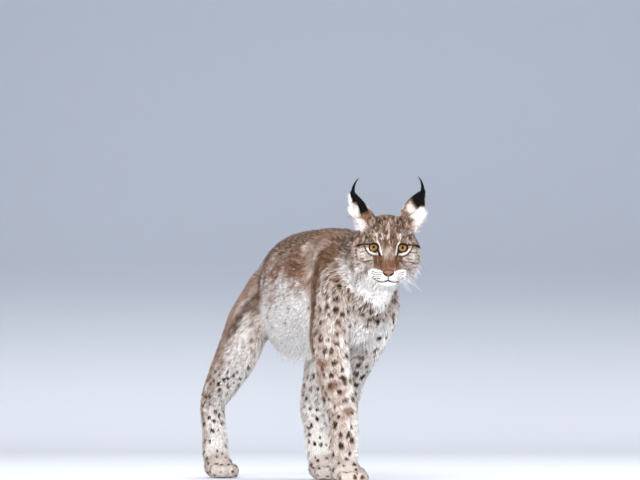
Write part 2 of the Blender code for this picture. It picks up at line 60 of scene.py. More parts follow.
def torso_ring(y, back, belly, half_width):
    return Ring(0.0, y, (back + belly) / 2, half_width, (back - belly) / 2)


TORSO = [
    torso_ring(-0.150, 0.532, 0.395, 0.054),
    torso_ring(-0.105, 0.590, 0.352, 0.084),
    torso_ring(-0.030, 0.617, 0.336, 0.104),
    torso_ring(0.075, BACK_HEIGHT, 0.328, CHEST_HALF_WIDTH),
    torso_ring(0.180, 0.622, 0.311, 0.110),
    torso_ring(0.265, 0.618, 0.304, 0.103),
    torso_ring(0.330, 0.606, 0.312, 0.087),
    torso_ring(0.395, 0.587, 0.370, 0.062),
    torso_ring(0.450, 0.562, 0.395, 0.048),
    torso_ring(0.495, 0.534, 0.410, 0.036),
]
NECK = [
    Ring(0.0, -0.040, 0.500, 0.082, 0.098),
    Ring(0.004, -0.120, 0.520, 0.082, 0.092),
    Ring(0.010, -0.190, 0.552, 0.080, 0.084),
    Ring(0.008, -0.235, 0.572, 0.072, 0.072),
]
TAIL = [
    Ring(0.0, 0.485, 0.497, 0.034, 0.034),
    Ring(0.004, 0.530, 0.468, 0.029, 0.029),
    Ring(0.008, 0.560, 0.428, 0.028, 0.028),
    Ring(0.012, 0.573, 0.386, 0.028, 0.028),
    Ring(0.014, 0.576, 0.348, 0.020, 0.020),
]


def foreleg(side, shoulder, elbow, forearm, wrist, paw):
    """Sections down one foreleg. side is -1 for the right leg. Places are x, y, z."""
    return [
        Ring(side * 0.044, 0.015, 0.570, 0.030, 0.046),
        Ring(side * 0.066, shoulder[1] + 0.035, 0.510, 0.042, 0.068),
        Ring(*shoulder, 0.045, 0.071),
        Ring((shoulder[0] + elbow[0]) / 2, (shoulder[1] + elbow[1]) / 2, 0.393, 0.046, 0.067),
        Ring(*elbow, 0.045, 0.060),
        Ring(*forearm, 0.042, 0.049),
        Ring(*wrist, 0.036, 0.040),
        Ring(paw[0], paw[1] + 0.020, 0.070, 0.036, 0.037),
    ]


def hind_leg(side, thigh, stifle, shank, hock, paw):
    """Sections down one hind leg, from the hip to above the paw."""
    return [
        Ring(side * 0.048, 0.400, 0.485, 0.036, 0.066),
        Ring(*thigh, 0.047, 0.084),
        Ring(*stifle, 0.046, 0.078),
        Ring(*shank, 0.043, 0.056),
        Ring(*hock, 0.033, 0.037),
        Ring((hock[0] + paw[0]) / 2, (hock[1] + paw[1]) / 2 + 0.008, 0.115, 0.033, 0.032),
        Ring(paw[0], paw[1] + 0.022, 0.058, 0.035, 0.034),
    ]


LEGS = {
    "foreleg_right": foreleg(
        -1,
        (-0.074, -0.083, 0.440),
        (-0.081, -0.088, 0.345),
        (-0.078, -0.115, 0.250),
        (-0.074, -0.155, 0.155),
        (-0.072, -0.172),
    ),
    "foreleg_left": foreleg(
        1,
        (0.080, -0.032, 0.440),
        (0.077, 0.038, 0.350),
        (0.056, 0.104, 0.258),
        (0.050, 0.120, 0.155),
        (0.047, 0.100),
    ),
    "hindleg_right": hind_leg(
        -1,
        (-0.078, 0.403, 0.408),
        (-0.094, 0.436, 0.330),
        (-0.106, 0.500, 0.258),
        (-0.112, 0.570, 0.190),
        (-0.104, 0.548),
    ),
    "hindleg_left": hind_leg(
        1,
        (0.078, 0.380, 0.408),
        (0.093, 0.330, 0.345),
        (0.090, 0.345, 0.265),
        (0.085, 0.385, 0.185),
        (0.080, 0.305),
    ),
}
PAWS = {
    "forepaw_right": (-0.072, -0.180),
    "forepaw_left": (0.047, 0.092),
    "hindpaw_right": (-0.104, 0.540),
    "hindpaw_left": (0.080, 0.297),
}

# Head masses in the head's own frame: origin between the eyes, -Y the way it looks
HEAD_BALLS = [  # centre, radii, mirrored
    ((0.0, 0.057, 0.008), (0.062, 0.072, 0.055), False),
    ((0.0, 0.020, 0.012), (0.048, 0.033, 0.035), False),
    ((0.031, 0.010, 0.014), (0.023, 0.018, 0.012), True),
    ((0.043, 0.052, 0.038), (0.029, 0.030, 0.028), True),
    ((0.046, 0.030, -0.018), (0.030, 0.046, 0.034), True),
    ((0.0165, -0.047, -0.047), (0.0225, 0.026, 0.0180), True),
    ((0.0, -0.037, -0.0735), (0.027, 0.028, 0.0140), False),
    ((0.0, 0.001, -0.058), (0.047, 0.056, 0.034), False),
]
RUFF_BALLS = [((-0.060, 0.044, -0.036), (0.028, 0.036, 0.052)), ((0.054, 0.044, -0.034), (0.027, 0.036, 0.050))]
MUZZLE = [
    Ring(0.0, 0.012, -0.002, 0.026, 0.028),
    Ring(0.0, -0.020, -0.011, 0.0205, 0.024),
    Ring(0.0, -0.043, -0.0255, 0.0180, 0.018),
    Ring(0.0, -0.057, -0.0365, 0.0140, 0.0125),
]
THROAT = [
    Ring(0.0, 0.010, -0.045, 0.046, 0.040),
    Ring(0.0, 0.060, -0.040, 0.058, 0.056),
    Ring(0.0, 0.110, -0.020, 0.066, 0.066),
]
NOSE_CENTRE, NOSE_RADII = Vector((0.0, -0.0670, -0.0392)), (0.0140, 0.0105, 0.0092)
EAR_BASE = {"left": (0.0610, 0.060, 0.062), "right": (-0.0660, 0.055, 0.062)}
EAR_TIP = {"left": (0.0760, 0.052, 0.124), "right": (-0.0800, 0.043, 0.124)}
EAR_OPENING = {"left": (0.80, 0.58, 0.10), "right": (-0.92, -0.38, 0.10)}
EAR_RINGS = [  # how far up, half width, half depth
    (-0.16, 0.026, 0.019),
    (0.0, 0.029, 0.020),
    (0.25, 0.0285, 0.0165),
    (0.5, 0.0235, 0.0115),
    (0.75, 0.0145, 0.0070),
    (1.0, 0.0034, 0.0034),
]
NECK_PLANE = (Vector((0.010, -0.190, 0.55)) + WITHERS_PLACE, Vector((0.21, 0.978, 0.0)).normalized())

# The camera that took the photo, in pixels of its 640 x 480 frame
FOCAL_PIXELS = 3617
CAMERA_DISTANCE = 8.5
CAMERA_HEIGHT = 0.275
CAMERA_SIDE = math.radians(24)  # how far round to the lynx's right the camera stands
EYES_PIXEL_X, HORIZON_PIXEL_Y = 388, 370


def paint(red, green, blue):
    """A colour as the eye reads it, 0 to 255, in the light values that a shader takes."""
    light = [((c / 255 + 0.055) / 1.055) ** 2.4 for c in (red, green, blue)]
    return (*light, 1.0)


SAND = paint(166, 127, 98)
EARTH = paint(72, 49, 35)
RUFOUS = paint(132, 76, 40)
SNOW = paint(244, 240, 236)
INK = paint(16, 14, 14)
AMBER, HONEY, UMBER = paint(130, 104, 60), paint(106, 74, 38), paint(36, 24, 14)
NOSE_PINK, NOSE_DARK = paint(116, 80, 68), paint(10, 8, 8)

rng = np.random.default_rng(11)


# Shapes


def head_matrix():
    turn = Matrix.Rotation(HEAD_YAW, 4, "Z") @ Matrix.Rotation(HEAD_ROLL, 4, "Y")
    return Matrix.Translation(EYE_PLACE + WITHERS_PLACE) @ turn @ Matrix.Rotation(HEAD_PITCH, 4, "X")


HEAD = head_matrix()
HEAD_BACK = HEAD.inverted()
TO_CAMERA = Vector((0, -math.cos(math.radians(18)), math.sin(math.radians(18))))  # from the eyes, in the head's frame
FACE_UP = Vector((0, math.sin(math.radians(18)), math.cos(math.radians(18))))


def spline(rows, t):
    """The Catmull-Rom curve through rows of numbers, at t from 0 to len(rows) - 1."""
    i = min(int(t), len(rows) - 2)
    f = t - i
    a, b, c, d = (rows[min(max(j, 0), len(rows) - 1)] for j in (i - 1, i, i + 1, i + 2))
    return 0.5 * (2 * b + (c - a) * f + (2 * a - 5 * b + 4 * c - d) * f**2 + (3 * b - a - 3 * c + d) * f**3)


def ring_matrix(row, along):
    """The frame of one section: x across the animal, y through its depth, z along the limb."""
    along = along.normalized()
    depth = along.cross(Vector((1, 0, 0))).normalized()
    across = depth.cross(along)
    made = Matrix((across * row[3], depth * row[4], along * (row[3] + row[4]) / 2)).transposed().to_4x4()
    made.translation = row[:3]
    return made


def skin_over(whole, frames, segments=24, round_ends=True):
    """Adds a closed body through a row of circles. Each frame holds a circle's centre, its two radii and its way."""
    bm = bmesh.new()  # of its own, because an operator on a large mesh is slow
    last = None
    for i, place in enumerate(frames):
        made = bmesh.ops.create_circle(bm, segments=segments, radius=1, matrix=place)["verts"]
        loop = list({e for v in made for e in v.link_edges})
        if last:
            bmesh.ops.bridge_loops(bm, edges=last + loop)
        else:
            bmesh.ops.contextual_create(bm, geom=loop)
        if round_ends and i in (0, len(frames) - 1):
            bmesh.ops.create_uvsphere(bm, u_segments=24, v_segments=14, radius=0.98, matrix=place)
        last = loop
    bmesh.ops.contextual_create(bm, geom=last)
    add_to(whole, bm)


def add_to(whole, bm):
    mesh = bpy.data.meshes.new("part")
    bmesh.ops.recalc_face_normals(bm, faces=bm.faces)
    bm.to_mesh(mesh)
    bm.free()
    whole.from_mesh(mesh)
    bpy.data.meshes.remove(mesh)


def sections(rings, per_span):
    """Each section along a limb, with the way that the limb runs there. The trunk's stand upright."""
    rows = np.array([list(r) for r in rings])
    last = len(rows) - 1
    for t in np.linspace(0, last, last * per_span + 1):
        ahead, behind = spline(rows, min(t + 0.05, last)), spline(rows, max(t - 0.05, 0))
        along = Vector((0, 1, 0)) if rings is TORSO else Vector((ahead - behind)[:3]).normalized()
        yield spline(rows, t), along


def loft(bm, rings, place):
    skin_over(bm, [place @ ring_matrix(row, along) for row, along in sections(rings, 4)])


def ball(bm, centre, radii, place, segments=(32, 20)):
    shape = place @ Matrix.Translation(centre) @ Matrix.Diagonal((*radii, 1))
    part = bmesh.new()
    bmesh.ops.create_uvsphere(part, u_segments=segments[0], v_segments=segments[1], radius=1, matrix=shape)
    add_to(bm, part)


def paw(bm, x, y):
    shift = Matrix.Translation(Vector((x, y, 0)) + WITHERS_PLACE)
    ball(bm, (0, 0.012, 0.030), (0.037, 0.042, 0.034), shift)
    for toe_x, toe_y in ((-0.026, -0.026), (-0.010, -0.040), (0.010, -0.040), (0.026, -0.026)):
        ball(bm, (toe_x, toe_y, 0.018), (0.0135, 0.021, 0.020), shift)


def object_of(name, bm):
    bmesh.ops.recalc_face_normals(bm, faces=bm.faces)
    mesh = bpy.data.meshes.new(name)
    bm.to_mesh(mesh)
    bm.free()
    made = bpy.data.objects.new(name, mesh)
    bpy.context.scene.collection.objects.link(made)
    return made


def apply_modifiers(obj):
    bpy.context.view_layer.update()
    shaped = obj.evaluated_get(bpy.context.evaluated_depsgraph_get())
    mesh = bpy.data.meshes.new_from_object(shaped)
    obj.modifiers.clear()
    obj.data = mesh
    return obj


def boolean(obj, operation, cutter, solver="MANIFOLD"):
    made = obj.modifiers.new(operation.title(), "BOOLEAN")
    made.operation = operation
    made.solver = solver
    made.object = cutter
    apply_modifiers(obj)
    bpy.data.objects.remove(cutter)
    return obj


def numbers(collection, field, width=3, kind=np.float32):
    found = np.empty(len(collection) * width, kind)
    collection.foreach_get(field, found)
    return found.reshape(-1, width) if width > 1 else found


def smooth_step(value, low, high):
    """0 at low, 1 at high, smoothly between them. low may be the larger."""
    t = np.clip((value - low) / (high - low), 0, 1)
    return t * t * (3 - 2 * t)


def settle(points, edges, share, steps):
    """Evens a surface: at each step a point moves half way to the middle of its neighbours, times its own share."""
    ends = np.concatenate([edges, edges[:, ::-1]])
    count = np.bincount(ends[:, 0], minlength=len(points))[:, None]
    for _ in range(steps):
        middle = [np.bincount(ends[:, 0], points[ends[:, 1], k], len(points)) for k in range(3)]
        points = points + share[:, None] * (np.stack(middle, 1) / count - points) / 2
    return points


def in_head(points):
    """Places in the head's own frame."""
    back = np.array(HEAD_BACK)
    return points @ back[:3, :3].T + back[:3, 3]


def head_share(points):
    """1 in the head, 0 behind the plane where the neck starts."""
    ahead = -(points - np.array(NECK_PLANE[0])) @ np.array(NECK_PLANE[1])
    return smooth_step(ahead, -0.012, 0.012) * smooth_step(points[:, 2], 0.425, 0.455)


# How the coat lies

LIMBS = ("trunk", "neck", "tail", "foreleg_right", "foreleg_left", "hindleg_right", "hindleg_left", "paw")
Guide = namedtuple("Guide", "limb centre way radius share")


def lie_guides():
    """Places inside every limb with the way that the fur lies round them."""
    found = []
    limbs = {"trunk": TORSO, "neck": NECK[::-1], "tail": TAIL, **LEGS}
    for limb, rings in limbs.items():
        steps = list(sections(rings, 1 if limb == "trunk" else 2))
        for i, (row, along) in enumerate(steps):
            centre = np.array(row[:3]) + np.array(WITHERS_PLACE)
            radius = np.array([row[3], (row[3] + row[4]) / 2, row[4]]) if limb in ("trunk", "neck") else row[3:].mean()
            found.append(Guide(LIMBS.index(limb), centre, np.array(along), radius, i / (len(steps) - 1)))
    for x, y in PAWS.values():
        centre = np.array((x, y - 0.012, 0.024)) + np.array(WITHERS_PLACE)
        found.append(Guide(LIMBS.index("paw"), centre, np.array((0, -1, -0.3)), 0.040, 1.0))
    return found


def read_lie(points):
    """For each point: the way of the fur, its share in each limb, and where it is round and along that limb."""
    way = np.zeros((len(points), 3))
    limb = np.zeros((len(points), len(LIMBS)))
    centre = np.zeros((len(points), 3))
    share = np.zeros(len(points))
    radius = np.zeros(len(points))
    for guide in lie_guides():
        away = (points - guide.centre) / guide.radius
        weight = np.exp(-2.4 * (away**2).sum(1)) + 1e-9
        limb[:, guide.limb] += weight
        way += weight[:, None] * guide.way
        centre += weight[:, None] * guide.centre
        share += weight * guide.share
        radius += weight * np.mean(guide.radius)
    total = limb.sum(1)
    limb /= total[:, None]
    return {
        "way": way / total[:, None],
        "limb": dict(zip(LIMBS, limb.T)),
        "centre": centre / total[:, None],
        "share": share / total,
        "radius": radius / total,
    }


def trunk_height(points):
    """0 at the line of the belly, 1 at the line of the back."""
    along = points[:, 1] - WITHERS_PLACE.y
    rings = np.array([list(r) for r in TORSO])
    middle, half = np.interp(along, rings[:, 1], rings[:, 2]), np.interp(along, rings[:, 1], rings[:, 4])
    return (points[:, 2] - middle + half) / (2 * half)


def head_zones(q):
    """Shares of the head's parts, from places in its own frame."""
    x, y, z = np.abs(q[:, 0]), q[:, 1], q[:, 2]
    muzzle = smooth_step(y, -0.008, -0.030)
    ruff = smooth_step(y, 0.004, 0.034) * smooth_step(z, -0.002, -0.040) * smooth_step(x, 0.022, 0.048)
    bib = smooth_step(z, -0.066, -0.084) * smooth_step(x, 0.066, 0.044)
    crown = smooth_step(z + 0.5 * y, 0.020, 0.060)
    return {"muzzle": muzzle * (1 - bib), "ruff": ruff, "bib": bib * (1 - ruff * 0.5), "crown": crown}


def coat_depth(points):
    """How far the coat's tips stand over the skin."""
    lie = read_lie(points)
    limb, low = lie["limb"], lie["share"]
    legs = sum(limb[name] for name in LEGS)
    body = 0.013 * limb["trunk"] + 0.015 * limb["neck"] + 0.010 * limb["tail"] + 0.003 * limb["paw"]
    body = body + legs * (0.010 - 0.0055 * low)
    zone = head_zones(in_head(points))
    face = 0.0022 - 0.0010 * zone["muzzle"] + 0.006 * zone["ruff"] + 0.007 * zone["bib"] + 0.0025 * zone["crown"]
    face = face + 0.006 * smooth_step(in_head(points)[:, 1], 0.04, 0.10)
    head = head_share(points)
    return head * face + (1 - head) * body


# The skin

BODY_VOXEL = 0.0046
HEAD_VOXEL = 0.0024
BODY_TRIANGLES = 90000
THROAT_FLOOR = 0.452  # the lowest place where the head's surface takes over from the body's


def mass_object(name, lofts, paws, balls, place_of_lofts, voxel):
    """Overlapping masses, made one closed body. place_of_lofts is the frame of each loft."""
    bm = bmesh.new()
    for rings, place in zip(lofts, place_of_lofts):
        loft(bm, rings, place)
    for x, y in paws:
        paw(bm, x, y)
    for centre, radii in balls:
        ball(bm, centre, radii, HEAD)
    made = object_of(name, bm)
    remesh = made.modifiers.new("Remesh", "REMESH")
    remesh.mode = "VOXEL"
    remesh.voxel_size = voxel
    return apply_modifiers(made)


def draw_in(obj, steps):
    """Evens the masses, and draws their surface in by the depth of the coat."""
    mesh = obj.data
    points = numbers(mesh.vertices, "co").astype(float)
    edges = numbers(mesh.edges, "vertices", 2, np.int32)
    points = settle(points, edges, 0.15 + 0.85 * smooth_step(points[:, 2], 0.035, 0.075), steps)
    mesh.vertices.foreach_set("co", points.ravel())
    mesh.update()
    normals = numbers(mesh.vertex_normals, "vector").astype(float)
    points -= normals * coat_depth(points)[:, None]
    points[:, 2] = np.maximum(points[:, 2], 0.0006)
    mesh.vertices.foreach_set("co", points.ravel())
    mesh.update()


def ahead_of_neck(shift, lowest):
    """A cutter: everything ahead of the plane between neck and head, above a height."""
    bm = bmesh.new()
    bmesh.ops.create_cube(bm, size=2)
    point, normal = NECK_PLANE
    for place, way in ((point + normal * shift, normal), (Vector((0, 0, lowest)), Vector((0, 0, -1)))):
        geom = bm.verts[:] + bm.edges[:] + bm.faces[:]
        cut = bmesh.ops.bisect_plane(bm, geom=geom, plane_co=place, plane_no=way, clear_outer=True)
        rim = [e for e in cut["geom_cut"] if isinstance(e, bmesh.types.BMEdge)]
        bmesh.ops.contextual_create(bm, geom=rim)
    bmesh.ops.triangulate(bm, faces=bm.faces)
    return object_of("cutter", bm)


def body_and_head():
    """One surface: the body's, and ahead of the neck the head's own, which is finer."""
    shift = Matrix.Translation(WITHERS_PLACE)
    body_lofts = [TORSO, NECK, TAIL, *LEGS.values()]
    cranium = [(HEAD_BALLS[0][0], HEAD_BALLS[0][1])]
    places = [shift] * len(body_lofts) + [HEAD]
    skin = mass_object("lynx_skin", body_lofts + [THROAT], PAWS.values(), cranium, places, BODY_VOXEL)
    draw_in(skin, round(6 * (0.008 / BODY_VOXEL) ** 2))
    thin = skin.modifiers.new("Decimate", "DECIMATE")
    thin.ratio = min(1.0, BODY_TRIANGLES / (2 * len(skin.data.polygons)))
    apply_modifiers(skin)
    boolean(skin, "DIFFERENCE", ahead_of_neck(0.0, THROAT_FLOOR))

    balls = [(centre, radii) for centre, radii, _ in HEAD_BALLS]
    balls += [((-centre[0], *centre[1:]), radii) for centre, radii, mirrored in HEAD_BALLS if mirrored]
    head = mass_object("head", [MUZZLE, THROAT, NECK], [], balls + RUFF_BALLS, [HEAD, HEAD, shift], HEAD_VOXEL)
    draw_in(head, round(12 * (0.0028 / HEAD_VOXEL) ** 2))
    boolean(head, "INTERSECT", ahead_of_neck(0.0015, 0.0))
    boolean(skin, "UNION", head)

    points = numbers(skin.data.vertices, "co").astype(float)
    ahead = np.abs((points - np.array(NECK_PLANE[0])) @ np.array(NECK_PLANE[1]))
    join = smooth_step(ahead, 0.016, 0.004) * (points[:, 2] > THROAT_FLOOR - 0.03)
    points = settle(points, numbers(skin.data.edges, "vertices", 2, np.int32), join, 25)
    skin.data.vertices.foreach_set("co", points.ravel())
    skin.data.update()
    return skin


def surface_tree(obj):
    return BVHTree.FromPolygons([v.co for v in obj.data.vertices], [p.vertices[:] for p in obj.data.polygons])


def on_face(tree, across, up, lift=0.0):
    """The place and normal of the face that a viewer at the camera sees at across and up from between the eyes."""
    start = Vector((across, 0, 0)) + FACE_UP * up + TO_CAMERA * 0.2
    turn = HEAD.to_3x3()
    place, normal = tree.ray_cast(HEAD @ start, turn @ -TO_CAMERA)[:2]
    return place + normal * lift, normal


def ear_axes(side):
    """The ear's base and its up, opening and width directions, all unit except up, in the head's frame."""
    base, tip = Vector(EAR_BASE[side]), Vector(EAR_TIP[side])
    up = tip - base
    opening = Vector(EAR_OPENING[side])
    opening = (opening - opening.project(up)).normalized()
    return base, up, opening, up.cross(opening).normalized()


def ear_frame(side, t, half_width, half_depth, shift):
    """One section of an ear. The ear leans back a little as it rises."""
    base, up, opening, across = ear_axes(side)
    lean = opening * (0.012 * t * t - 0.004)
    made = Matrix((across * half_width, opening * half_depth, up.normalized() * half_width)).transposed().to_4x4()
    made.translation = base + up * t + lean + opening * shift
    return HEAD @ made


def ear_shell(side):
    bm = bmesh.new()
    rows = np.array(EAR_RINGS)
    frames = []
    for k in np.linspace(0, len(rows) - 1, 21):
        t, half_width, half_depth = spline(rows, k)
        frames.append(ear_frame(side, t, half_width, half_depth, 0.0))
    skin_over(bm, frames, 40, False)
    return object_of("ear_shell", bm)


def ear_cup(side):
    bm = bmesh.new()
    rows = np.array(EAR_RINGS[1:])
    frames = []
    for t in np.linspace(0.05, 0.88, 12):
        _, half_width, half_depth = spline(rows, min(t / 0.25, len(rows) - 1.001))
        frames.append(ear_frame(side, t, half_width * 0.86, half_depth * 1.25, half_depth * 0.62))
    skin_over(bm, frames, 40, False)
    return object_of("ear_cup", bm)


def almond(angle):
    """A point of the lids' edge, across and up from the eye's middle. The outer corner is at angle 0."""
    across = 0.0122 * math.cos(angle)
    up = 0.0108 * math.copysign(abs(math.sin(angle)) ** 1.2, math.sin(angle))
    tilt = math.radians(9)
    return across * math.cos(tilt) - up * math.sin(tilt), across * math.sin(tilt) + up * math.cos(tilt)


def eye_opening(side):
    """The almond between the lids, as a prism that runs forward out of the face."""
    bm = bmesh.new()
    rim = []
    for k in range(40):
        across, up = almond(math.tau * k / 40)
        rim.append(bm.verts.new(HEAD @ Vector((side * (EYE_SPACING / 2 + across), -0.004, up))))
    bottom = bm.faces.new(rim)
    pulled = bmesh.ops.extrude_face_region(bm, geom=[bottom], use_keep_orig=True)["geom"]
    ahead = HEAD.to_3x3() @ Vector((0, -0.030, 0))
    bmesh.ops.translate(bm, verts=[v for v in pulled if isinstance(v, bmesh.types.BMVert)], vec=ahead)
    return object_of("opening", bm)


def round_piece(name, centre, radii, place, segments=(32, 20)):
    bm = bmesh.new()
    ball(bm, centre, radii, place, segments)
    return object_of(name, bm)


def tube(name, places, radii, flat=1.0, faces=12):
    """A round rod through places, with its own radius at each. flat squeezes it along its normals."""
    bm = bmesh.new()
    frames = []
    for i, (place, normal) in enumerate(places):
        along = (places[min(i + 1, len(places) - 1)][0] - places[max(i - 1, 0)][0]).normalized()
        across = along.cross(normal).normalized()
        columns = (across * radii[i], across.cross(along) * radii[i] * flat, along * radii[i])
        made = Matrix(columns).transposed().to_4x4()
        made.translation = place
        frames.append(made)
    skin_over(bm, frames, faces, False)
    return object_of(name, bm)


MOUTH_LINE = [  # across and up as the camera sees them, from the middle of the lips to a corner
    (0.0, -0.0775),
    (0.006, -0.0798),
    (0.014, -0.0812),
    (0.022, -0.0798),
    (0.029, -0.0762),
    (0.036, -0.0705),
]


def mouth_places(tree, side, lift=0.0):
    rows = np.array(MOUTH_LINE)
    line = [spline(rows, t) for t in np.linspace(0, len(rows) - 1, 16)]
    return [on_face(tree, side * across, up, lift) for across, up in line]


def soften(obj, centre, reach, steps):
    """Evens the surface round a place, most at the place itself."""
    points = numbers(obj.data.vertices, "co").astype(float)
    share = smooth_step(np.linalg.norm(points - np.array(centre), axis=1), reach, reach * 0.6)
    points = settle(points, numbers(obj.data.edges, "vertices", 2, np.int32), share, steps)
    obj.data.vertices.foreach_set("co", points.ravel())
    obj.data.update()


def in_order(obj):
    """Lists the faces by their corners. The cuts leave them in another order each time, and the roots are drawn by it."""
    mesh = obj.data
    points = [v.co.copy() for v in mesh.vertices]
    faces = []
    for face in mesh.polygons:
        corners = list(face.vertices)
        first = corners.index(min(corners))
        faces.append(corners[first:] + corners[:first])
    mesh.clear_geometry()
    mesh.from_pydata(points, [], sorted(faces))
    mesh.update()


def skin_piece():
    skin = body_and_head()
    tree = surface_tree(skin)
    for side in ("left", "right"):
        boolean(skin, "UNION", ear_shell(side))
        boolean(skin, "DIFFERENCE", ear_cup(side))
    for side in (-1, 1):
        centre = (side * EYE_SPACING / 2, 0, 0)
        boolean(skin, "UNION", round_piece("lids", centre, [EYE_RADIUS + 0.0022] * 3, HEAD, (48, 32)))
        soften(skin, HEAD @ Vector(centre), 0.026, 14)
        boolean(skin, "DIFFERENCE", eye_opening(side))
        boolean(skin, "DIFFERENCE", round_piece("socket", centre, [EYE_RADIUS + 0.0002] * 3, HEAD, (48, 32)))
        radii = [0.0017] * 14 + [0.0012, 0.0007]
        boolean(skin, "DIFFERENCE", tube("groove", mouth_places(tree, side), radii))
    philtrum = [on_face(tree, 0.0, up) for up in (-0.064, -0.068, -0.073, -0.078)]
    boolean(skin, "DIFFERENCE", tube("groove", philtrum, [0.0011] * 4))
    in_order(skin)
    return skin, tree


# Where the markings lie


def stroke(across, up, line, width, soft=0.5):
    """1 on a line of points, fading to 0 at its edge. soft is the share of the width that fades."""
    best = np.full(len(across), 9.0)
    line = np.array(line)
    for a, b in zip(line[:-1], line[1:]):
        way = b - a
        t = np.clip(((across - a[0]) * way[0] + (up - a[1]) * way[1]) / (way @ way), 0, 1)
        best = np.minimum(best, np.hypot(across - a[0] - t * way[0], up - a[1] - t * way[1]))
    return smooth_step(best, width, width * (1 - soft))


def patch(across, up, centre, radii, soft=0.5):
    away = np.hypot((across - centre[0]) / radii[0], (up - centre[1]) / radii[1])
    return smooth_step(away, 1 + soft / 2, 1 - soft / 2)


def ripple(points, size, seed):
    """A smooth random pattern about 0, its lumps about this size."""
    draw = np.random.default_rng(seed)
    found = np.zeros(len(points))
    for _ in range(14):
        way = draw.normal(size=3)
        way *= math.tau / (size * draw.uniform(1.2, 2.6)) / np.linalg.norm(way)
        found += np.sin(points @ way + draw.uniform(0, math.tau))
    return found / 3.2


def paint_over(marks, colour, share):
    """Lays one of the coat's paints over those that are there. marks holds earth, rufous, ink and snow."""
    marks *= (1 - share)[:, None]
    if colour is not None:
        marks[:, colour] += share


EARTH_MARK, RUFOUS_MARK, INK_MARK, SNOW_MARK = range(4)


def flecks(points, size, seed, low=0.3, high=0.7, stretch=(1.0, 0.4, 0.4)):
    """Small irregular marks, drawn out by one over stretch along each axis."""
    return smooth_step(ripple(points * np.array(stretch), size, seed), low, high)


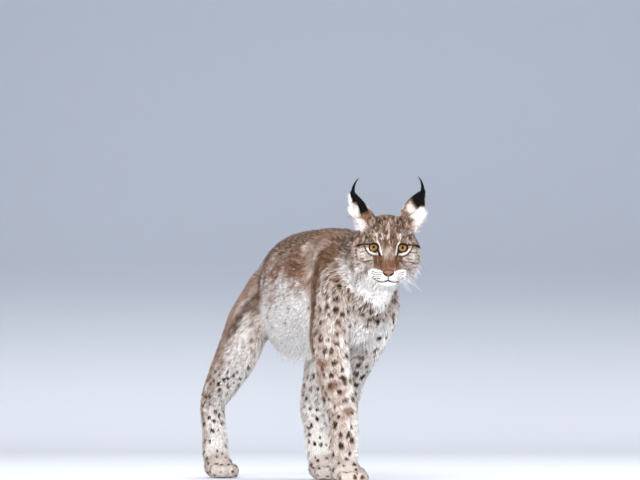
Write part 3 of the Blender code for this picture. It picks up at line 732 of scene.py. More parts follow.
def face_marks(points):
    """The face's markings, laid out as seen from ahead: across and up from between the eyes."""
    q = in_head(points)
    across, up, back = np.abs(q[:, 0] - 0.001), q @ np.array(FACE_UP), q[:, 1]
    side = np.sign(q[:, 0])
    front = smooth_step(back, 0.062, 0.030)
    marks = np.zeros((len(points), 4))
    paint_over(marks, EARTH_MARK, np.full(len(points), 0.62))
    paint_over(marks, SNOW_MARK, 0.30 * flecks(q, 0.0042, 1, 0.0, 0.5))
    paint_over(marks, EARTH_MARK, 0.50 * flecks(q, 0.0075, 8, 0.1, 0.6))

    # crown and forehead: broken dark lines that fan from the bridge of the nose
    crown = smooth_step(up, 0.035, 0.062)
    paint_over(marks, RUFOUS_MARK, 0.35 * crown)
    paint_over(marks, EARTH_MARK, 0.45 * crown)
    breaks = flecks(q, 0.0034, 2, -0.02, 0.30, (1, 0.70, 0.70))
    for foot, top in ((0.0015, 0.002), (0.0045, 0.008), (0.008, 0.014), (0.0115, 0.021), (0.0150, 0.028), (0.020, 0.036)):
        line = [(foot, -0.026), (foot + 0.002, 0.010), ((foot + top) / 2 + 0.002, 0.036), (top, 0.074)]
        fan = stroke(across + 0.0013 * np.sin(up * 300 + foot * 900), up, line, 0.0015, 0.7)
        paint_over(marks, INK_MARK, 0.64 * fan * breaks * smooth_step(up, -0.030, -0.006))
    brow = smooth_step(up, -0.004, 0.014) * smooth_step(across, 0.066, 0.052)
    paint_over(marks, SNOW_MARK, 0.12 * brow * flecks(q, 0.0034, 12, 0.20, 0.60))
    paint_over(marks, INK_MARK, 0.58 * brow * flecks(q, 0.0030, 9, 0.16, 0.50))
    for spot in ((0.010, 0.066), (0.021, 0.058), (0.030, 0.064), (0.034, 0.048), (0.044, 0.036), (0.050, 0.022)):
        paint_over(marks, INK_MARK, 0.70 * patch(across, up, spot, (0.0034, 0.0046), 0.8))

    # cheeks: grey-white with fine dark streaks that run outwards
    cheek = smooth_step(across, 0.030, 0.042) * smooth_step(up, 0.006, -0.010) * smooth_step(up, -0.092, -0.066)
    paint_over(marks, SNOW_MARK, 0.46 * cheek)
    streaks = np.sin(math.tau * (up + 0.10 * (across - 0.04)) / 0.0085 + 1.9 * ripple(points, 0.026, 3))
    broken = smooth_step(ripple(points, 0.011, 4), -0.4, 0.4)
    paint_over(marks, INK_MARK, 0.66 * cheek * smooth_step(streaks, 0.25, 0.85) * broken)
    paint_over(marks, EARTH_MARK, 0.45 * cheek * smooth_step(ripple(points, 0.010, 10), 0.0, 0.5))

    # the bridge and sides of the nose
    bridge = patch(across, up, (0.0, -0.030), (0.0165, 0.0280), 0.7) * front
    paint_over(marks, None, 0.60 * bridge)
    paint_over(marks, EARTH_MARK, 0.62 * bridge)
    paint_over(marks, SNOW_MARK, 0.22 * bridge * smooth_step(up, -0.036, -0.014))
    paint_over(marks, RUFOUS_MARK, 0.30 * bridge * smooth_step(up, -0.036, -0.050))
    paint_over(marks, EARTH_MARK, 0.5 * bridge * flecks(q, 0.0042, 11, 0.15, 0.55))
    side_of_nose = stroke(across, up, [(0.0170, -0.024), (0.0195, -0.036), (0.0235, -0.049)], 0.0085, 0.7)
    paint_over(marks, RUFOUS_MARK, 0.50 * side_of_nose * front)
    paint_over(marks, EARTH_MARK, 0.66 * side_of_nose * front)

    # the white muzzle and chin, with rows of dark spots where the whiskers grow
    muzzle = stroke(across, up, [(0.0, -0.0735), (0.016, -0.068), (0.034, -0.0635), (0.046, -0.071)], 0.0145, 0.30)
    chin = smooth_step(up, -0.075, -0.081) * smooth_step(across, 0.080, 0.062)
    paint_over(marks, SNOW_MARK, np.maximum(muzzle * smooth_step(back, 0.075, 0.045), chin))
    jowl = stroke(across, up, [(0.034, -0.078), (0.056, -0.070), (0.072, -0.056)], 0.020, 0.9)
    paint_over(marks, SNOW_MARK, 0.50 * jowl)
    tip_of_muzzle = smooth_step(back, -0.030, -0.042)
    for row, rise in enumerate((-0.0595, -0.0638, -0.0682, -0.0725)):
        for k in range(6):
            spot = (0.0175 + 0.0046 * k + 0.0012 * row, rise + 0.0006 * k - 0.0012 * math.sin(k * 0.8))
            paint_over(marks, INK_MARK, 0.95 * patch(across, up, spot, (0.0019, 0.0011), 0.8) * tip_of_muzzle)
    # painted shade in the crease down each side of the nose, at the front
    crease_shade = stroke(across, up, [(0.0165, -0.030), (0.0190, -0.046), (0.0165, -0.056)], 0.0016, 0.7)
    paint_over(marks, INK_MARK, 0.75 * crease_shade * smooth_step(back, -0.024, -0.036))

    # white beside and under the eyes, dark lids, the line back from the outer corner and the dark curve below
    white = stroke(across, up, [(0.0165, -0.017), (0.0185, -0.003), (0.0240, 0.012)], 0.0027, 0.6)
    white = np.maximum(white, 0.8 * stroke(across, up, [(0.0240, 0.010), (0.0270, 0.018), (0.0275, 0.032)], 0.0019, 0.7))
    below = stroke(across, up, [(0.0240, -0.0155), (0.034, -0.0155), (0.043, -0.0110), (0.0490, -0.003)], 0.0025)
    paint_over(marks, SNOW_MARK, 0.88 * np.maximum(white, below) * front)
    dark = patch(across, up, (EYE_SPACING / 2, 0.0), (0.0131, 0.0113), 0.10)
    dark = np.maximum(dark, stroke(across, up, [(0.0240, -0.006), (0.0210, -0.0125), (0.0190, -0.020)], 0.0026))
    dark = np.maximum(dark, stroke(across, up, [(0.044, 0.007), (0.058, 0.0055), (0.068, 0.004), (0.078, 0.0)], 0.0022))
    dark = np.maximum(dark, 0.9 * stroke(across, up, [(0.066, 0.004), (0.072, 0.002)], 0.0042))
    curve = [(0.0560, 0.0015), (0.0520, -0.0090), (0.0440, -0.0170), (0.0340, -0.0210), (0.0260, -0.0215)]
    dark = np.maximum(dark, 0.85 * stroke(across, up, curve, 0.0019))
    paint_over(marks, INK_MARK, 0.96 * dark * smooth_step(back, 0.060, 0.045))

    # the mouth's dark line
    mouth = stroke(across, up, MOUTH_LINE, 0.0018, 0.6)
    lip = stroke(across, up, [(0.0, -0.066), (0.0, -0.078)], 0.0012, 0.6)
    paint_over(marks, INK_MARK, np.maximum(mouth, lip) * smooth_step(back, -0.005, -0.020))

    # ruff: brown at its edge, black streaks low down, white tufts under the ears
    ruff = smooth_step(across, 0.064, 0.078) * smooth_step(up, 0.040, 0.010) * smooth_step(back, 0.000, 0.020)
    edge = smooth_step(across, 0.072, 0.084)
    paint_over(marks, SNOW_MARK, 0.14 * ruff)
    paint_over(marks, RUFOUS_MARK, 0.60 * ruff * edge * smooth_step(side, 0.5, -0.5))
    paint_over(marks, EARTH_MARK, 0.50 * ruff * edge * smooth_step(ripple(points, 0.014, 14), -0.8, 0.2))
    paint_over(marks, INK_MARK, 0.6 * ruff * smooth_step(ripple(points, 0.013, 5), 0.35, 0.8))
    low = stroke(across, up, [(0.062, -0.066), (0.070, -0.088)], 0.011, 0.8)
    low = np.maximum(low, stroke(across, up, [(0.080, -0.046), (0.083, -0.062)], 0.008, 0.8))
    paint_over(marks, INK_MARK, 0.80 * low * smooth_step(ripple(points, 0.009, 6), -0.4, 0.2))

    # behind the face the head goes over to the nape
    nape = smooth_step(back, 0.060, 0.085) * smooth_step(up, -0.010, 0.020)
    paint_over(marks, EARTH_MARK, 0.70 * nape)
    paint_over(marks, INK_MARK, 0.5 * nape * smooth_step(ripple(points, 0.012, 7), 0.3, 0.7))
    under_ear = patch(across, up, (0.073, 0.050), (0.017, 0.018), 0.9) * smooth_step(back, 0.100, 0.070)
    paint_over(marks, SNOW_MARK, 0.95 * np.clip(under_ear * (1 + 0.5 * ripple(points, 0.010, 13)), 0, 1))
    return marks


def chest_front(place):
    """1 on the white front of the chest, between the forelegs and up to the collar. Places run from the withers."""
    x, y, z = place.T
    height = smooth_step(z, 0.402, 0.380) * smooth_step(z, 0.24, 0.29)
    return height * smooth_step(y - 0.06 * smooth_step(x, 0.0, 0.03), -0.050, -0.085) * smooth_step(x, -0.048, -0.022)


def spot_plan(points, lie):
    """For each point: how likely a spot is there, the distance to the next, its radius and how black it is."""
    limb, low = lie["limb"], lie["share"]
    x, y, z = (points - np.array(WITHERS_PLACE)).T
    fore, hind = limb["foreleg_right"] + limb["foreleg_left"], limb["hindleg_right"] + limb["hindleg_left"]
    height = trunk_height(points)
    forward = smooth_step((lie["centre"] - points)[:, 1] / lie["radius"], 0.0, 0.7)
    outward = smooth_step((points - lie["centre"])[:, 0] * np.sign(x) / lie["radius"], -0.5, 0.1)
    shoulder = fore * smooth_step(z, 0.43, 0.48)
    front = (limb["neck"] + limb["trunk"]) * smooth_step(y, -0.06, -0.10)
    necklace = front * smooth_step(np.abs(z - 0.405 - 9.0 * (x - 0.011) ** 2), 0.034, 0.020)
    wanted = fore * (0.35 + 0.65 * outward) + hind * (0.45 + 0.55 * outward) + 0.55 * front
    wanted = wanted * (1 - 0.85 * front * smooth_step(z, 0.400, 0.375)) + necklace
    wanted = wanted * (1 - 0.85 * chest_front(points - np.array(WITHERS_PLACE)))
    wanted = wanted + limb["tail"] * 0.4 + limb["paw"] * 0.45
    flank = limb["trunk"] * smooth_step(y, -0.06, 0.0)
    wanted = wanted + 0.35 * flank * smooth_step(np.abs(height - 0.50), 0.30, 0.10)
    spacing = 0.0152 - 0.0015 * hind - 0.0030 * shoulder + 0.005 * flank - 0.001 * limb["paw"] - 0.002 * necklace
    radius = 0.0050 - 0.0014 * hind - 0.0020 * shoulder + 0.0004 * necklace - 0.0012 * limb["paw"]
    black = 0.24 + 0.45 * fore * (0.5 + 0.5 * low) + hind * (0.85 * forward + 0.5 * low - 0.1) + 0.30 * shoulder
    black = black + 0.25 * limb["paw"] - 0.40 * flank + 0.50 * necklace
    return wanted, spacing, radius, black


def spot_rows(points, lie, head):
    """Seeds the coat's spots over the skin: each a centre, the way it is drawn out, its radius and its blackness."""
    draw = np.random.default_rng(23)
    wanted, spacing, radius, black = spot_plan(points, lie)
    kept = []
    places = np.zeros((0, 3))
    for i in draw.permutation(len(points))[:12000]:
        if head[i] > 0.6 or draw.uniform() > wanted[i]:
            continue
        if len(places) and ((places - points[i]) ** 2).sum(1).min() < (spacing[i] * draw.uniform(0.85, 1.35)) ** 2:
            continue
        places = np.vstack([places, points[i]])
        size = radius[i] * draw.uniform(0.60, 1.40)
        kept.append((*points[i], *lie["way"][i], size, np.clip(black[i] + draw.uniform(-0.35, 0.35), 0, 1)))
    return np.array(kept)


def spot_share(points, spots):
    """How much of a spot each point has, and how black that spot is."""
    wobble = 1 + 0.22 * ripple(points, 0.007, 31)
    best, black = np.zeros(len(points)), np.zeros(len(points))
    order = np.argsort(points[:, 2])
    heights = points[order, 2]
    for row in spots:
        first, last = np.searchsorted(heights, (row[2] - 0.016, row[2] + 0.016))
        near = order[first:last]
        near = near[np.abs(points[near, 1] - row[1]) < 0.016]
        away = points[near] - row[:3]
        way = row[3:6] / (np.linalg.norm(row[3:6]) + 1e-9)
        along = away @ way
        aside = np.sqrt(np.maximum((away**2).sum(1) - along**2, 0))
        mark = smooth_step(np.hypot(along / 1.15, aside) * wobble[near], row[6] * 1.20, row[6] * 0.75)
        new = mark > best[near]
        best[near[new]] = mark[new]
        black[near[new]] = row[7]
    return best, black


# Lines of the flank as seen from the side: back from the withers, and up. The shoulder's and the thigh's lines carry
# dark fur with painted shade.
SHOULDER_LINE = [(-0.078, 0.575), (-0.068, 0.500), (-0.060, 0.430), (-0.058, 0.369), (-0.062, 0.290)]
THIGH_LINE = [(0.322, 0.575), (0.332, 0.530), (0.346, 0.450), (0.388, 0.395), (0.420, 0.350)]
STREAK_LINE = [(-0.060, 0.615), (-0.010, 0.575), (0.020, 0.500)]
FORELEG_BLOTCHES = ((-0.100, -0.150, 0.235), (-0.075, -0.195, 0.180), (-0.105, -0.120, 0.290), (-0.045, -0.175, 0.205))


def body_marks(points, lie, spots):
    """The markings of the trunk, neck, legs and tail."""
    limb = lie["limb"]
    place = points - np.array(WITHERS_PLACE)
    x, y, z = place.T
    side = np.sign(x)
    height = trunk_height(points)
    outward = (points - lie["centre"])[:, 0] * side / lie["radius"]
    behind = (points - lie["centre"])[:, 1] / lie["radius"]
    fore, hind = limb["foreleg_right"] + limb["foreleg_left"], limb["hindleg_right"] + limb["hindleg_left"]
    marks = np.zeros((len(points), 4))
    mottle = ripple(points, 0.020, 41)

    # trunk: brown above, broken into mottles down the flank, white below
    trunk = limb["trunk"] + limb["tail"]
    top = smooth_step(height + 0.05 * mottle, 0.60, 0.95)
    paint_over(marks, EARTH_MARK, 0.46 + 0.36 * top)
    warm = smooth_step(ripple(points, 0.05, 42), -0.6, 0.6) * smooth_step(height, 0.40, 0.65)
    paint_over(marks, RUFOUS_MARK, 0.42 * warm * (1 - 0.4 * top))
    uneven = 0.07 * mottle + 0.10 * ripple(points, 0.045, 50)
    by_shoulder = smooth_step(y, 0.17, 0.06)
    pale = smooth_step(height + uneven + 0.16 * by_shoulder, 0.84, 0.54) * (0.66 + 0.34 * smooth_step(height + uneven, 0.52, 0.30))
    paint_over(marks, SNOW_MARK, 0.97 * pale * trunk)
    blotch = smooth_step(ripple(points * np.array((1, 1, 0.7)), 0.015, 43), 0.05, 0.60)
    blotch = blotch * smooth_step(height, 0.36, 0.46) * smooth_step(height, 0.90, 0.66)
    blotch = blotch * (0.45 + 0.55 * smooth_step(ripple(points, 0.0055, 61), -0.4, 0.3))
    paint_over(marks, EARTH_MARK, 0.20 * blotch * limb["trunk"])
    paint_over(marks, RUFOUS_MARK, 0.72 * blotch * limb["trunk"])
    light = smooth_step(ripple(points * np.array((1, 1, 0.7)), 0.017, 54), 0.30, 0.80)
    light = light * smooth_step(height, 0.40, 0.50) * smooth_step(height, 0.92, 0.74)
    streak = stroke(y, z, STREAK_LINE, 0.036, 0.9) * smooth_step(height, 0.45, 0.70)
    paint_over(marks, SNOW_MARK, 0.45 * light * limb["trunk"] * (1 - streak) * (1 - by_shoulder))
    paint_over(marks, RUFOUS_MARK, 0.66 * streak)
    speck = smooth_step(ripple(points, 0.0085, 44), 0.20, 0.60)
    upper = smooth_step(height + 0.5 * uneven - 0.05 * smooth_step(y, 0.10, 0.22), 0.56, 0.84)
    body = trunk + limb["neck"]
    paint_over(marks, RUFOUS_MARK, 0.62 * upper * body)
    paint_over(marks, EARTH_MARK, (0.16 + 0.46 * upper) * upper * body)
    paint_over(marks, INK_MARK, (0.12 * top + 0.42 * speck * upper) * body)
    fine = ripple(points, 0.0042, 60)
    mid = smooth_step(height, 0.42, 0.62)
    paint_over(marks, INK_MARK, 0.50 * smooth_step(fine, 0.15, 0.60) * (0.25 * mid + 0.75 * upper) * body)
    paint_over(marks, SNOW_MARK, 0.20 * smooth_step(-fine, 0.15, 0.60) * upper * body)

    # legs: sandy outside and behind, white inside and ahead
    below_back = smooth_step(z, 0.610, 0.520)
    fore, hind = fore * below_back, hind * below_back
    leg = fore + hind
    pale_leg = smooth_step(outward - 0.25 * mottle, 0.30, -0.40) + hind * smooth_step(behind + 0.2 * mottle, 0.25, -0.55)
    pale_leg = pale_leg + limb["foreleg_left"] * smooth_step(behind, 0.5, -0.3)
    paint_over(marks, None, 0.60 * leg)
    paint_over(marks, SNOW_MARK, (0.26 + 0.12 * fore) * leg)
    paint_over(marks, SNOW_MARK, 0.45 * fore * smooth_step(ripple(points, 0.016, 49), -0.1, 0.5))
    paint_over(marks, SNOW_MARK, 0.94 * np.clip(pale_leg, 0, 1) * leg)
    streaky = smooth_step(ripple(points, 0.0070, 62), 0.0, 0.5) * smooth_step(z, 0.08, 0.16)
    paint_over(marks, EARTH_MARK, 0.40 * streaky * leg * (1 - 0.7 * chest_front(place)))
    shoulder = fore * smooth_step(z, 0.40, 0.46)
    paint_over(marks, EARTH_MARK, 0.22 * shoulder * smooth_step(z - 0.3 * y, 0.44, 0.56))
    paint_over(marks, SNOW_MARK, 0.30 * shoulder)
    paint_over(marks, SNOW_MARK, 0.34 * shoulder * smooth_step(ripple(points, 0.016, 45), -0.3, 0.5))
    paint_over(marks, INK_MARK, 0.60 * shoulder * smooth_step(ripple(points, 0.0065, 46), 0.12, 0.42))
    paint_over(marks, EARTH_MARK, 0.42 * hind * smooth_step(z + 0.01 * mottle, 0.40, 0.50))
    rear_leg = hind * smooth_step(behind, 0.1, 0.8) * smooth_step(z, 0.14, 0.26)
    paint_over(marks, EARTH_MARK, 0.40 * rear_leg)
    paint_over(marks, RUFOUS_MARK, 0.25 * hind * smooth_step(z, 0.10, 0.24) * smooth_step(behind, -0.4, 0.4))
    paint_over(marks, INK_MARK, 0.50 * rear_leg * smooth_step(ripple(points, 0.0065, 57), 0.05, 0.45))

    # neck and chest: a white bib over a collar of dark spots, white below it, greyer up the sides
    neck = limb["neck"] + limb["trunk"] * smooth_step(y, -0.07, -0.12)
    collar_height = 0.405 + 9.0 * (x - 0.011) ** 2
    throat = smooth_step(z - 0.50 * (y + 0.15) + 0.008 * mottle, 0.560, 0.490)
    throat = throat * np.maximum(smooth_step(y + 0.01 * mottle, -0.125, -0.170), smooth_step(z, 0.450, 0.415))
    paint_over(marks, SNOW_MARK, 0.92 * neck * throat * (0.35 + 0.65 * smooth_step(x, -0.075, -0.045)))
    scruff = neck * (1 - throat) * smooth_step(z, 0.40, 0.44)
    paint_over(marks, SNOW_MARK, 0.30 * scruff * smooth_step(ripple(points, 0.014, 47), -0.2, 0.5))
    paint_over(marks, INK_MARK, 0.58 * scruff * smooth_step(ripple(points, 0.0065, 53), 0.12, 0.42))
    paint_over(marks, SNOW_MARK, 0.93 * chest_front(place))
    ahead = neck * smooth_step(y, -0.08, -0.12)
    collar = ahead * smooth_step(np.abs(z - collar_height + 0.008 * mottle), 0.026, 0.012)
    paint_over(marks, None, 0.50 * collar)
    band = smooth_step(y + 0.006 * mottle, -0.128, -0.152) * smooth_step(z, 0.430, 0.465) * smooth_step(z, 0.60, 0.56)
    paint_over(marks, SNOW_MARK, 0.24 * band)
    paint_over(marks, INK_MARK, 0.60 * band * smooth_step(ripple(points, 0.0080, 56), 0.25, 0.55))
    bib = ahead * smooth_step(z - collar_height, 0.022, 0.034) * smooth_step(z, 0.56, 0.52)
    bib = bib * (0.25 + 0.75 * smooth_step(x, -0.074, -0.050))
    paint_over(marks, SNOW_MARK, 0.97 * bib)

    # dark fur with painted shade along the rear edge of the shoulder, and the dark line ahead of the thigh: dark fur
    # with the painted shade of the fold there
    seen = smooth_step(np.abs(x), 0.045, 0.065)
    # dark fur and painted shade behind the shoulder, on the sides only
    rear_edge_dark_and_shade = stroke(y + 0.004 * mottle, z, SHOULDER_LINE, 0.036, 0.55) * smooth_step(side, 0.5, -0.5)
    left_edge = smooth_step(np.abs(behind - 0.75), 0.35, 0.1) * smooth_step(z, 0.27, 0.33)
    rear_edge_dark_and_shade = np.maximum(rear_edge_dark_and_shade, limb["foreleg_left"] * left_edge) * seen * smooth_step(z, 0.27, 0.36)
    paint_over(marks, EARTH_MARK, 0.80 * rear_edge_dark_and_shade)
    paint_over(marks, RUFOUS_MARK, 0.25 * rear_edge_dark_and_shade)
    paint_over(marks, INK_MARK, 0.62 * rear_edge_dark_and_shade * smooth_step(ripple(points, 0.011, 55), -0.7, 0.3))
    # painted shade of the fold ahead of the thigh, over dark fur; weaker on the left side
    thigh = stroke(y + 0.006 * mottle, z, THIGH_LINE, 0.026, 0.8) * seen * smooth_step(z, 0.325, 0.375)
    thigh = thigh * (1 - 0.6 * (side > 0)) * (0.75 + 0.25 * smooth_step(ripple(points, 0.008, 63), -0.3, 0.3))
    paint_over(marks, EARTH_MARK, 0.85 * thigh)
    paint_over(marks, INK_MARK, 0.56 * thigh * smooth_step(ripple(points, 0.010, 48), -0.5, 0.3))

    for centre in FORELEG_BLOTCHES:
        away = place - np.array(centre)
        blot = smooth_step(np.linalg.norm(away * np.array((1, 1, 1.3)), axis=1) * (1 + 0.25 * mottle), 0.019, 0.009)
        blot = blot * limb["foreleg_right"]
        paint_over(marks, RUFOUS_MARK, 0.60 * blot)
        paint_over(marks, EARTH_MARK, 0.45 * blot)
    best, black = spot_share(points, spots)
    best = best * (1 - bib) * (1 - rear_edge_dark_and_shade) * (1 - 0.75 * hind * smooth_step(z, 0.24, 0.33))
    soft = 1 - 0.45 * limb["trunk"] * smooth_step(y, -0.06, 0.0)
    paint_over(marks, RUFOUS_MARK, 0.35 * best * (1 - black) * soft)
    paint_over(marks, EARTH_MARK, 0.90 * best * (1 - black) * soft)
    paint_over(marks, INK_MARK, (0.90 - 0.16 * fore) * best * smooth_step(black, 0.05, 0.65) * soft)
    paint_over(marks, INK_MARK, 0.30 * best * soft)

    tip = limb["tail"] * smooth_step(z, 0.425, 0.400)
    paint_over(marks, INK_MARK, 0.97 * np.maximum(tip, smooth_step(z, 0.40, 0.385) * (limb["tail"] > 0.5)))
    paint_over(marks, SNOW_MARK, 0.55 * limb["paw"] * (1 - best))
    return marks


def ear_place(points, side):
    """How far up an ear each point is, how far out of its axis, how much it faces the opening, and across it."""
    base, up, opening, across = (np.array(v) for v in ear_axes(side))
    away = in_head(points) - base
    t = away @ up / (up @ up)
    off = away - np.outer(t, up)
    forward = off @ across * (1 if side == "right" else -1)
    return t, np.linalg.norm(off, axis=1), off @ opening, forward


def ear_share(points, side):
    t, out, _, _ = ear_place(points, side)
    return (smooth_step(t, -0.02, 0.14) * (out < 0.036) * (t < 1.4)).astype(float)


def ear_marks(points, side):
    """Black at the back of the ear but for a grey patch, brown at its foot, and white inside."""
    t, _, facing, forward = ear_place(points, side)
    marks = np.zeros((len(points), 4))
    paint_over(marks, RUFOUS_MARK, np.full(len(points), 0.30))
    paint_over(marks, EARTH_MARK, 0.35 + 0.40 * smooth_step(ripple(points, 0.009, 51), -0.3, 0.6))
    paint_over(marks, INK_MARK, 0.5 * smooth_step(ripple(points, 0.005, 52), 0.2, 0.6))
    grey = patch(t, forward + 0.002 * ripple(points, 0.008, 58), (0.33, 0.001), (0.18, 0.0160), 1.0)
    paint_over(marks, SNOW_MARK, 0.70 * grey * smooth_step(facing, 0.004, 0.0))
    if side == "right":
        paint_over(marks, INK_MARK, 0.98 * smooth_step(t + 16 * forward, 0.52, 0.66) * smooth_step(t, 0.10, 0.34))
        paint_over(marks, INK_MARK, 0.95 * smooth_step(t, 0.34, 0.46))
    else:
        paint_over(marks, INK_MARK, 0.98 * smooth_step(t + 4 * forward, 0.38, 0.60))
        rim = forward - 0.009 * smooth_step(t, 0.02, 0.30)
        paint_over(marks, SNOW_MARK, 0.95 * smooth_step(rim, 0.007, 0.012) * smooth_step(t, 0.62, 0.46))
    inside = smooth_step(facing + 0.024 * smooth_step(t, 0.40, 0.05), 0.003, 0.008)
    edge = smooth_step(forward, 0.0145, 0.0185) if side == "right" else 0.0
    high = (0.74, 0.62) if side == "right" else (0.88, 0.76)
    paint_over(marks, SNOW_MARK, 0.97 * inside * smooth_step(t, *high) * (1 - edge))
    return marks


def all_marks(points, lie, spots):
    """The coat's paints at every point: shares of earth, rufous, ink and snow over the sand that is under them."""
    head = head_share(points)[:, None]
    marks = body_marks(points, lie, spots) * (1 - head) + face_marks(points) * head
    for side in ("left", "right"):
        ear = ear_share(points, side)[:, None]
        marks = marks * (1 - ear) + ear_marks(points, side) * ear
    return np.clip(marks, 0, 1)


def frost(points, lie):
    """How light the tips of some tufts are: most on the back and the brow, none on the nose."""
    q = in_head(points)
    up = q @ np.array(FACE_UP)
    head = head_share(points)
    face = 0.55 * smooth_step(up, -0.010, 0.015) + 0.25 * smooth_step(q[:, 1], 0.0, 0.04)
    body = 0.05 + 0.12 * lie["limb"]["trunk"] * smooth_step(trunk_height(points), 0.5, 0.9)
    ears = ear_share(points, "left") + ear_share(points, "right")
    return np.clip(head * face + (1 - head) * body, 0, 1) * (1 - ears)


# The coat


def unwrap(skin):
    """The skin's own map, laid out by its shape, for the export."""
    bpy.context.view_layer.objects.active = skin
    skin.select_set(True)
    bpy.ops.object.mode_set(mode="EDIT")
    bpy.ops.mesh.select_all(action="SELECT")
    bpy.ops.uv.smart_project(angle_limit=1.15, island_margin=0.001)
    bpy.ops.object.mode_set(mode="OBJECT")
    skin.select_set(False)
    skin.data.uv_layers[0].name = "OFBake"


def root_rows(skin, density_of):
    """Draws the roots evenly over the skin: their places, normals and places on the skin's map."""
    mesh = skin.data
    mesh.calc_loop_triangles()
    points = numbers(mesh.vertices, "co").astype(float)
    normals = numbers(mesh.vertex_normals, "vector").astype(float)
    corners = numbers(mesh.loop_triangles, "vertices", 3, np.int32)
    loops = numbers(mesh.loop_triangles, "loops", 3, np.int32)
    areas = numbers(mesh.loop_triangles, "area", 1).astype(float)
    uv = numbers(mesh.uv_layers["OFBake"].uv, "vector", 2).astype(float)
    density = density_of(points[corners].mean(1), normals[corners].mean(1))
    count = np.floor(areas * density + rng.uniform(size=len(areas))).astype(int)
    face = np.repeat(np.arange(len(areas)), count)
    share = rng.dirichlet((1.0, 1.0, 1.0), len(face))
    place = (points[corners[face]] * share[:, :, None]).sum(1)
    normal = (normals[corners[face]] * share[:, :, None]).sum(1)
    spot = (uv[loops[face]] * share[:, :, None]).sum(1)
    return place, unit(normal), spot


def unit(rows):
    return rows / (np.linalg.norm(rows, axis=1, keepdims=True) + 1e-9)


def level(ways, normals):
    """Each way laid flat on the surface."""
    return unit(ways - normals * (ways * normals).sum(1, keepdims=True))


def head_way(points):
    """The way of the fur on the head: back from the nose, and down in the ruff and the beard."""
    q = in_head(points)
    zone = head_zones(q)
    away = unit(q - np.array((0.0, -0.072, -0.036)))
    away[:, 1] += 0.35
    away[:, 2] += -1.1 * zone["ruff"] - 1.6 * zone["bib"] - 0.4 * smooth_step(q[:, 1], 0.02, 0.06)
    away[:, 1] += 0.8 * zone["crown"]
    return away @ np.array(HEAD.to_3x3()).T


def fur_ways(points, normals, lie):
    way = lie["way"].copy()
    trunk = lie["limb"]["trunk"] * smooth_step(trunk_height(points), 1.0, 0.2)
    way[:, 2] -= 0.75 * trunk
    head = head_share(points)[:, None]
    way = way * (1 - head) + head_way(points) * head
    turn = np.array(HEAD.to_3x3())
    for side in ("left", "right"):
        ear = ear_share(points, side)[:, None]
        _, up, opening, _ = ear_axes(side)
        way = way * (1 - ear) + ear * (turn @ (np.array(up.normalized()) + 0.15 * np.array(opening)))
    return level(way, normals)


COAT = {  # length, width, how far the tips stand over the skin, tufts for each square metre
    "trunk": (0.026, 0.0019, 0.013, 98000),
    "neck": (0.021, 0.0018, 0.012, 105000),
    "tail": (0.028, 0.0022, 0.011, 80000),
    "leg_top": (0.017, 0.0019, 0.009, 100000),
    "leg_foot": (0.013, 0.0017, 0.006, 115000),
    "paw": (0.009, 0.0015, 0.0035, 130000),
    "face": (0.0070, 0.0011, 0.0026, 400000),
    "muzzle": (0.0048, 0.0010, 0.0014, 420000),
    "crown": (0.0095, 0.0013, 0.0045, 330000),
    "ruff": (0.034, 0.0018, 0.0100, 130000),
    "bib": (0.032, 0.0018, 0.0120, 130000),
    "nape": (0.024, 0.0019, 0.0100, 130000),
    "ear": (0.0085, 0.0012, 0.0018, 300000),
}


def coat_sizes(points, lie):
    """Length, width, lift and density of the fur at each point, blended from those of the parts round it."""
    limb, low = lie["limb"], lie["share"][:, None]
    legs = sum(limb[name] for name in LEGS)[:, None]
    rows = {name: np.array(row) for name, row in COAT.items()}
    body = sum(limb[name][:, None] * rows[name] for name in ("trunk", "neck", "tail", "paw"))
    body = body + legs * (rows["leg_top"] * (1 - low) + rows["leg_foot"] * low)
    q = in_head(points)
    zone = head_zones(q)
    face = np.ones((len(points), 4)) * rows["face"]
    for name, share in (
        ("crown", zone["crown"]),
        ("nape", smooth_step(q[:, 1], 0.055, 0.100)),
        ("muzzle", zone["muzzle"]),
        ("ruff", zone["ruff"]),
        ("bib", zone["bib"]),
    ):
        face = face * (1 - share)[:, None] + share[:, None] * rows[name]
    head = head_share(points)[:, None]
    sizes = body * (1 - head) + face * head
    for side in ("left", "right"):
        ear = ear_share(points, side)[:, None]
        sizes = sizes * (1 - ear) + ear * rows["ear"]
    return sizes


def bare(points):
    """1 where no fur grows: the eyes and lids, the nose, the line of the lips, the ears' depths and the soles."""
    q = in_head(points)
    found = np.zeros(len(points), bool)
    for side in (-1, 1):
        eye = q - np.array((side * EYE_SPACING / 2, 0, 0))
        found |= np.linalg.norm(eye, axis=1) < EYE_RADIUS + 0.0006
        across, up = eye[:, 0] * side, eye @ np.array(FACE_UP)
        found |= (np.hypot(across / 0.0132, up / 0.0116) < 1) & (q[:, 1] < 0)
    nose = (q - np.array(NOSE_CENTRE) - (0, -0.0020, -0.0010)) / (np.array(NOSE_RADII) * 1.04)
    found |= (nose**2).sum(1) < 1
    mouth = stroke(np.abs(q[:, 0]), q @ np.array(FACE_UP), MOUTH_LINE, 0.0013, 0.01) > 0.5
    found |= mouth & (q[:, 1] < -0.010)
    found |= points[:, 2] < 0.004
    return found


def density(points, normals):
    return coat_sizes(points, read_lie(points))[:, 3] * ~bare(points) * 1.0


def follow(tree, points, normals, tips, lift):
    """The tips drawn down to the skin nearest to them, and the tips that stand this far over it."""
    found = np.array([tree.find(Vector(tip))[1] for tip in tips])
    over = ((tips - points[found]) * normals[found]).sum(1)
    low = tips - normals[found] * over[:, None]
    return low, low + normals[found] * lift[:, None]


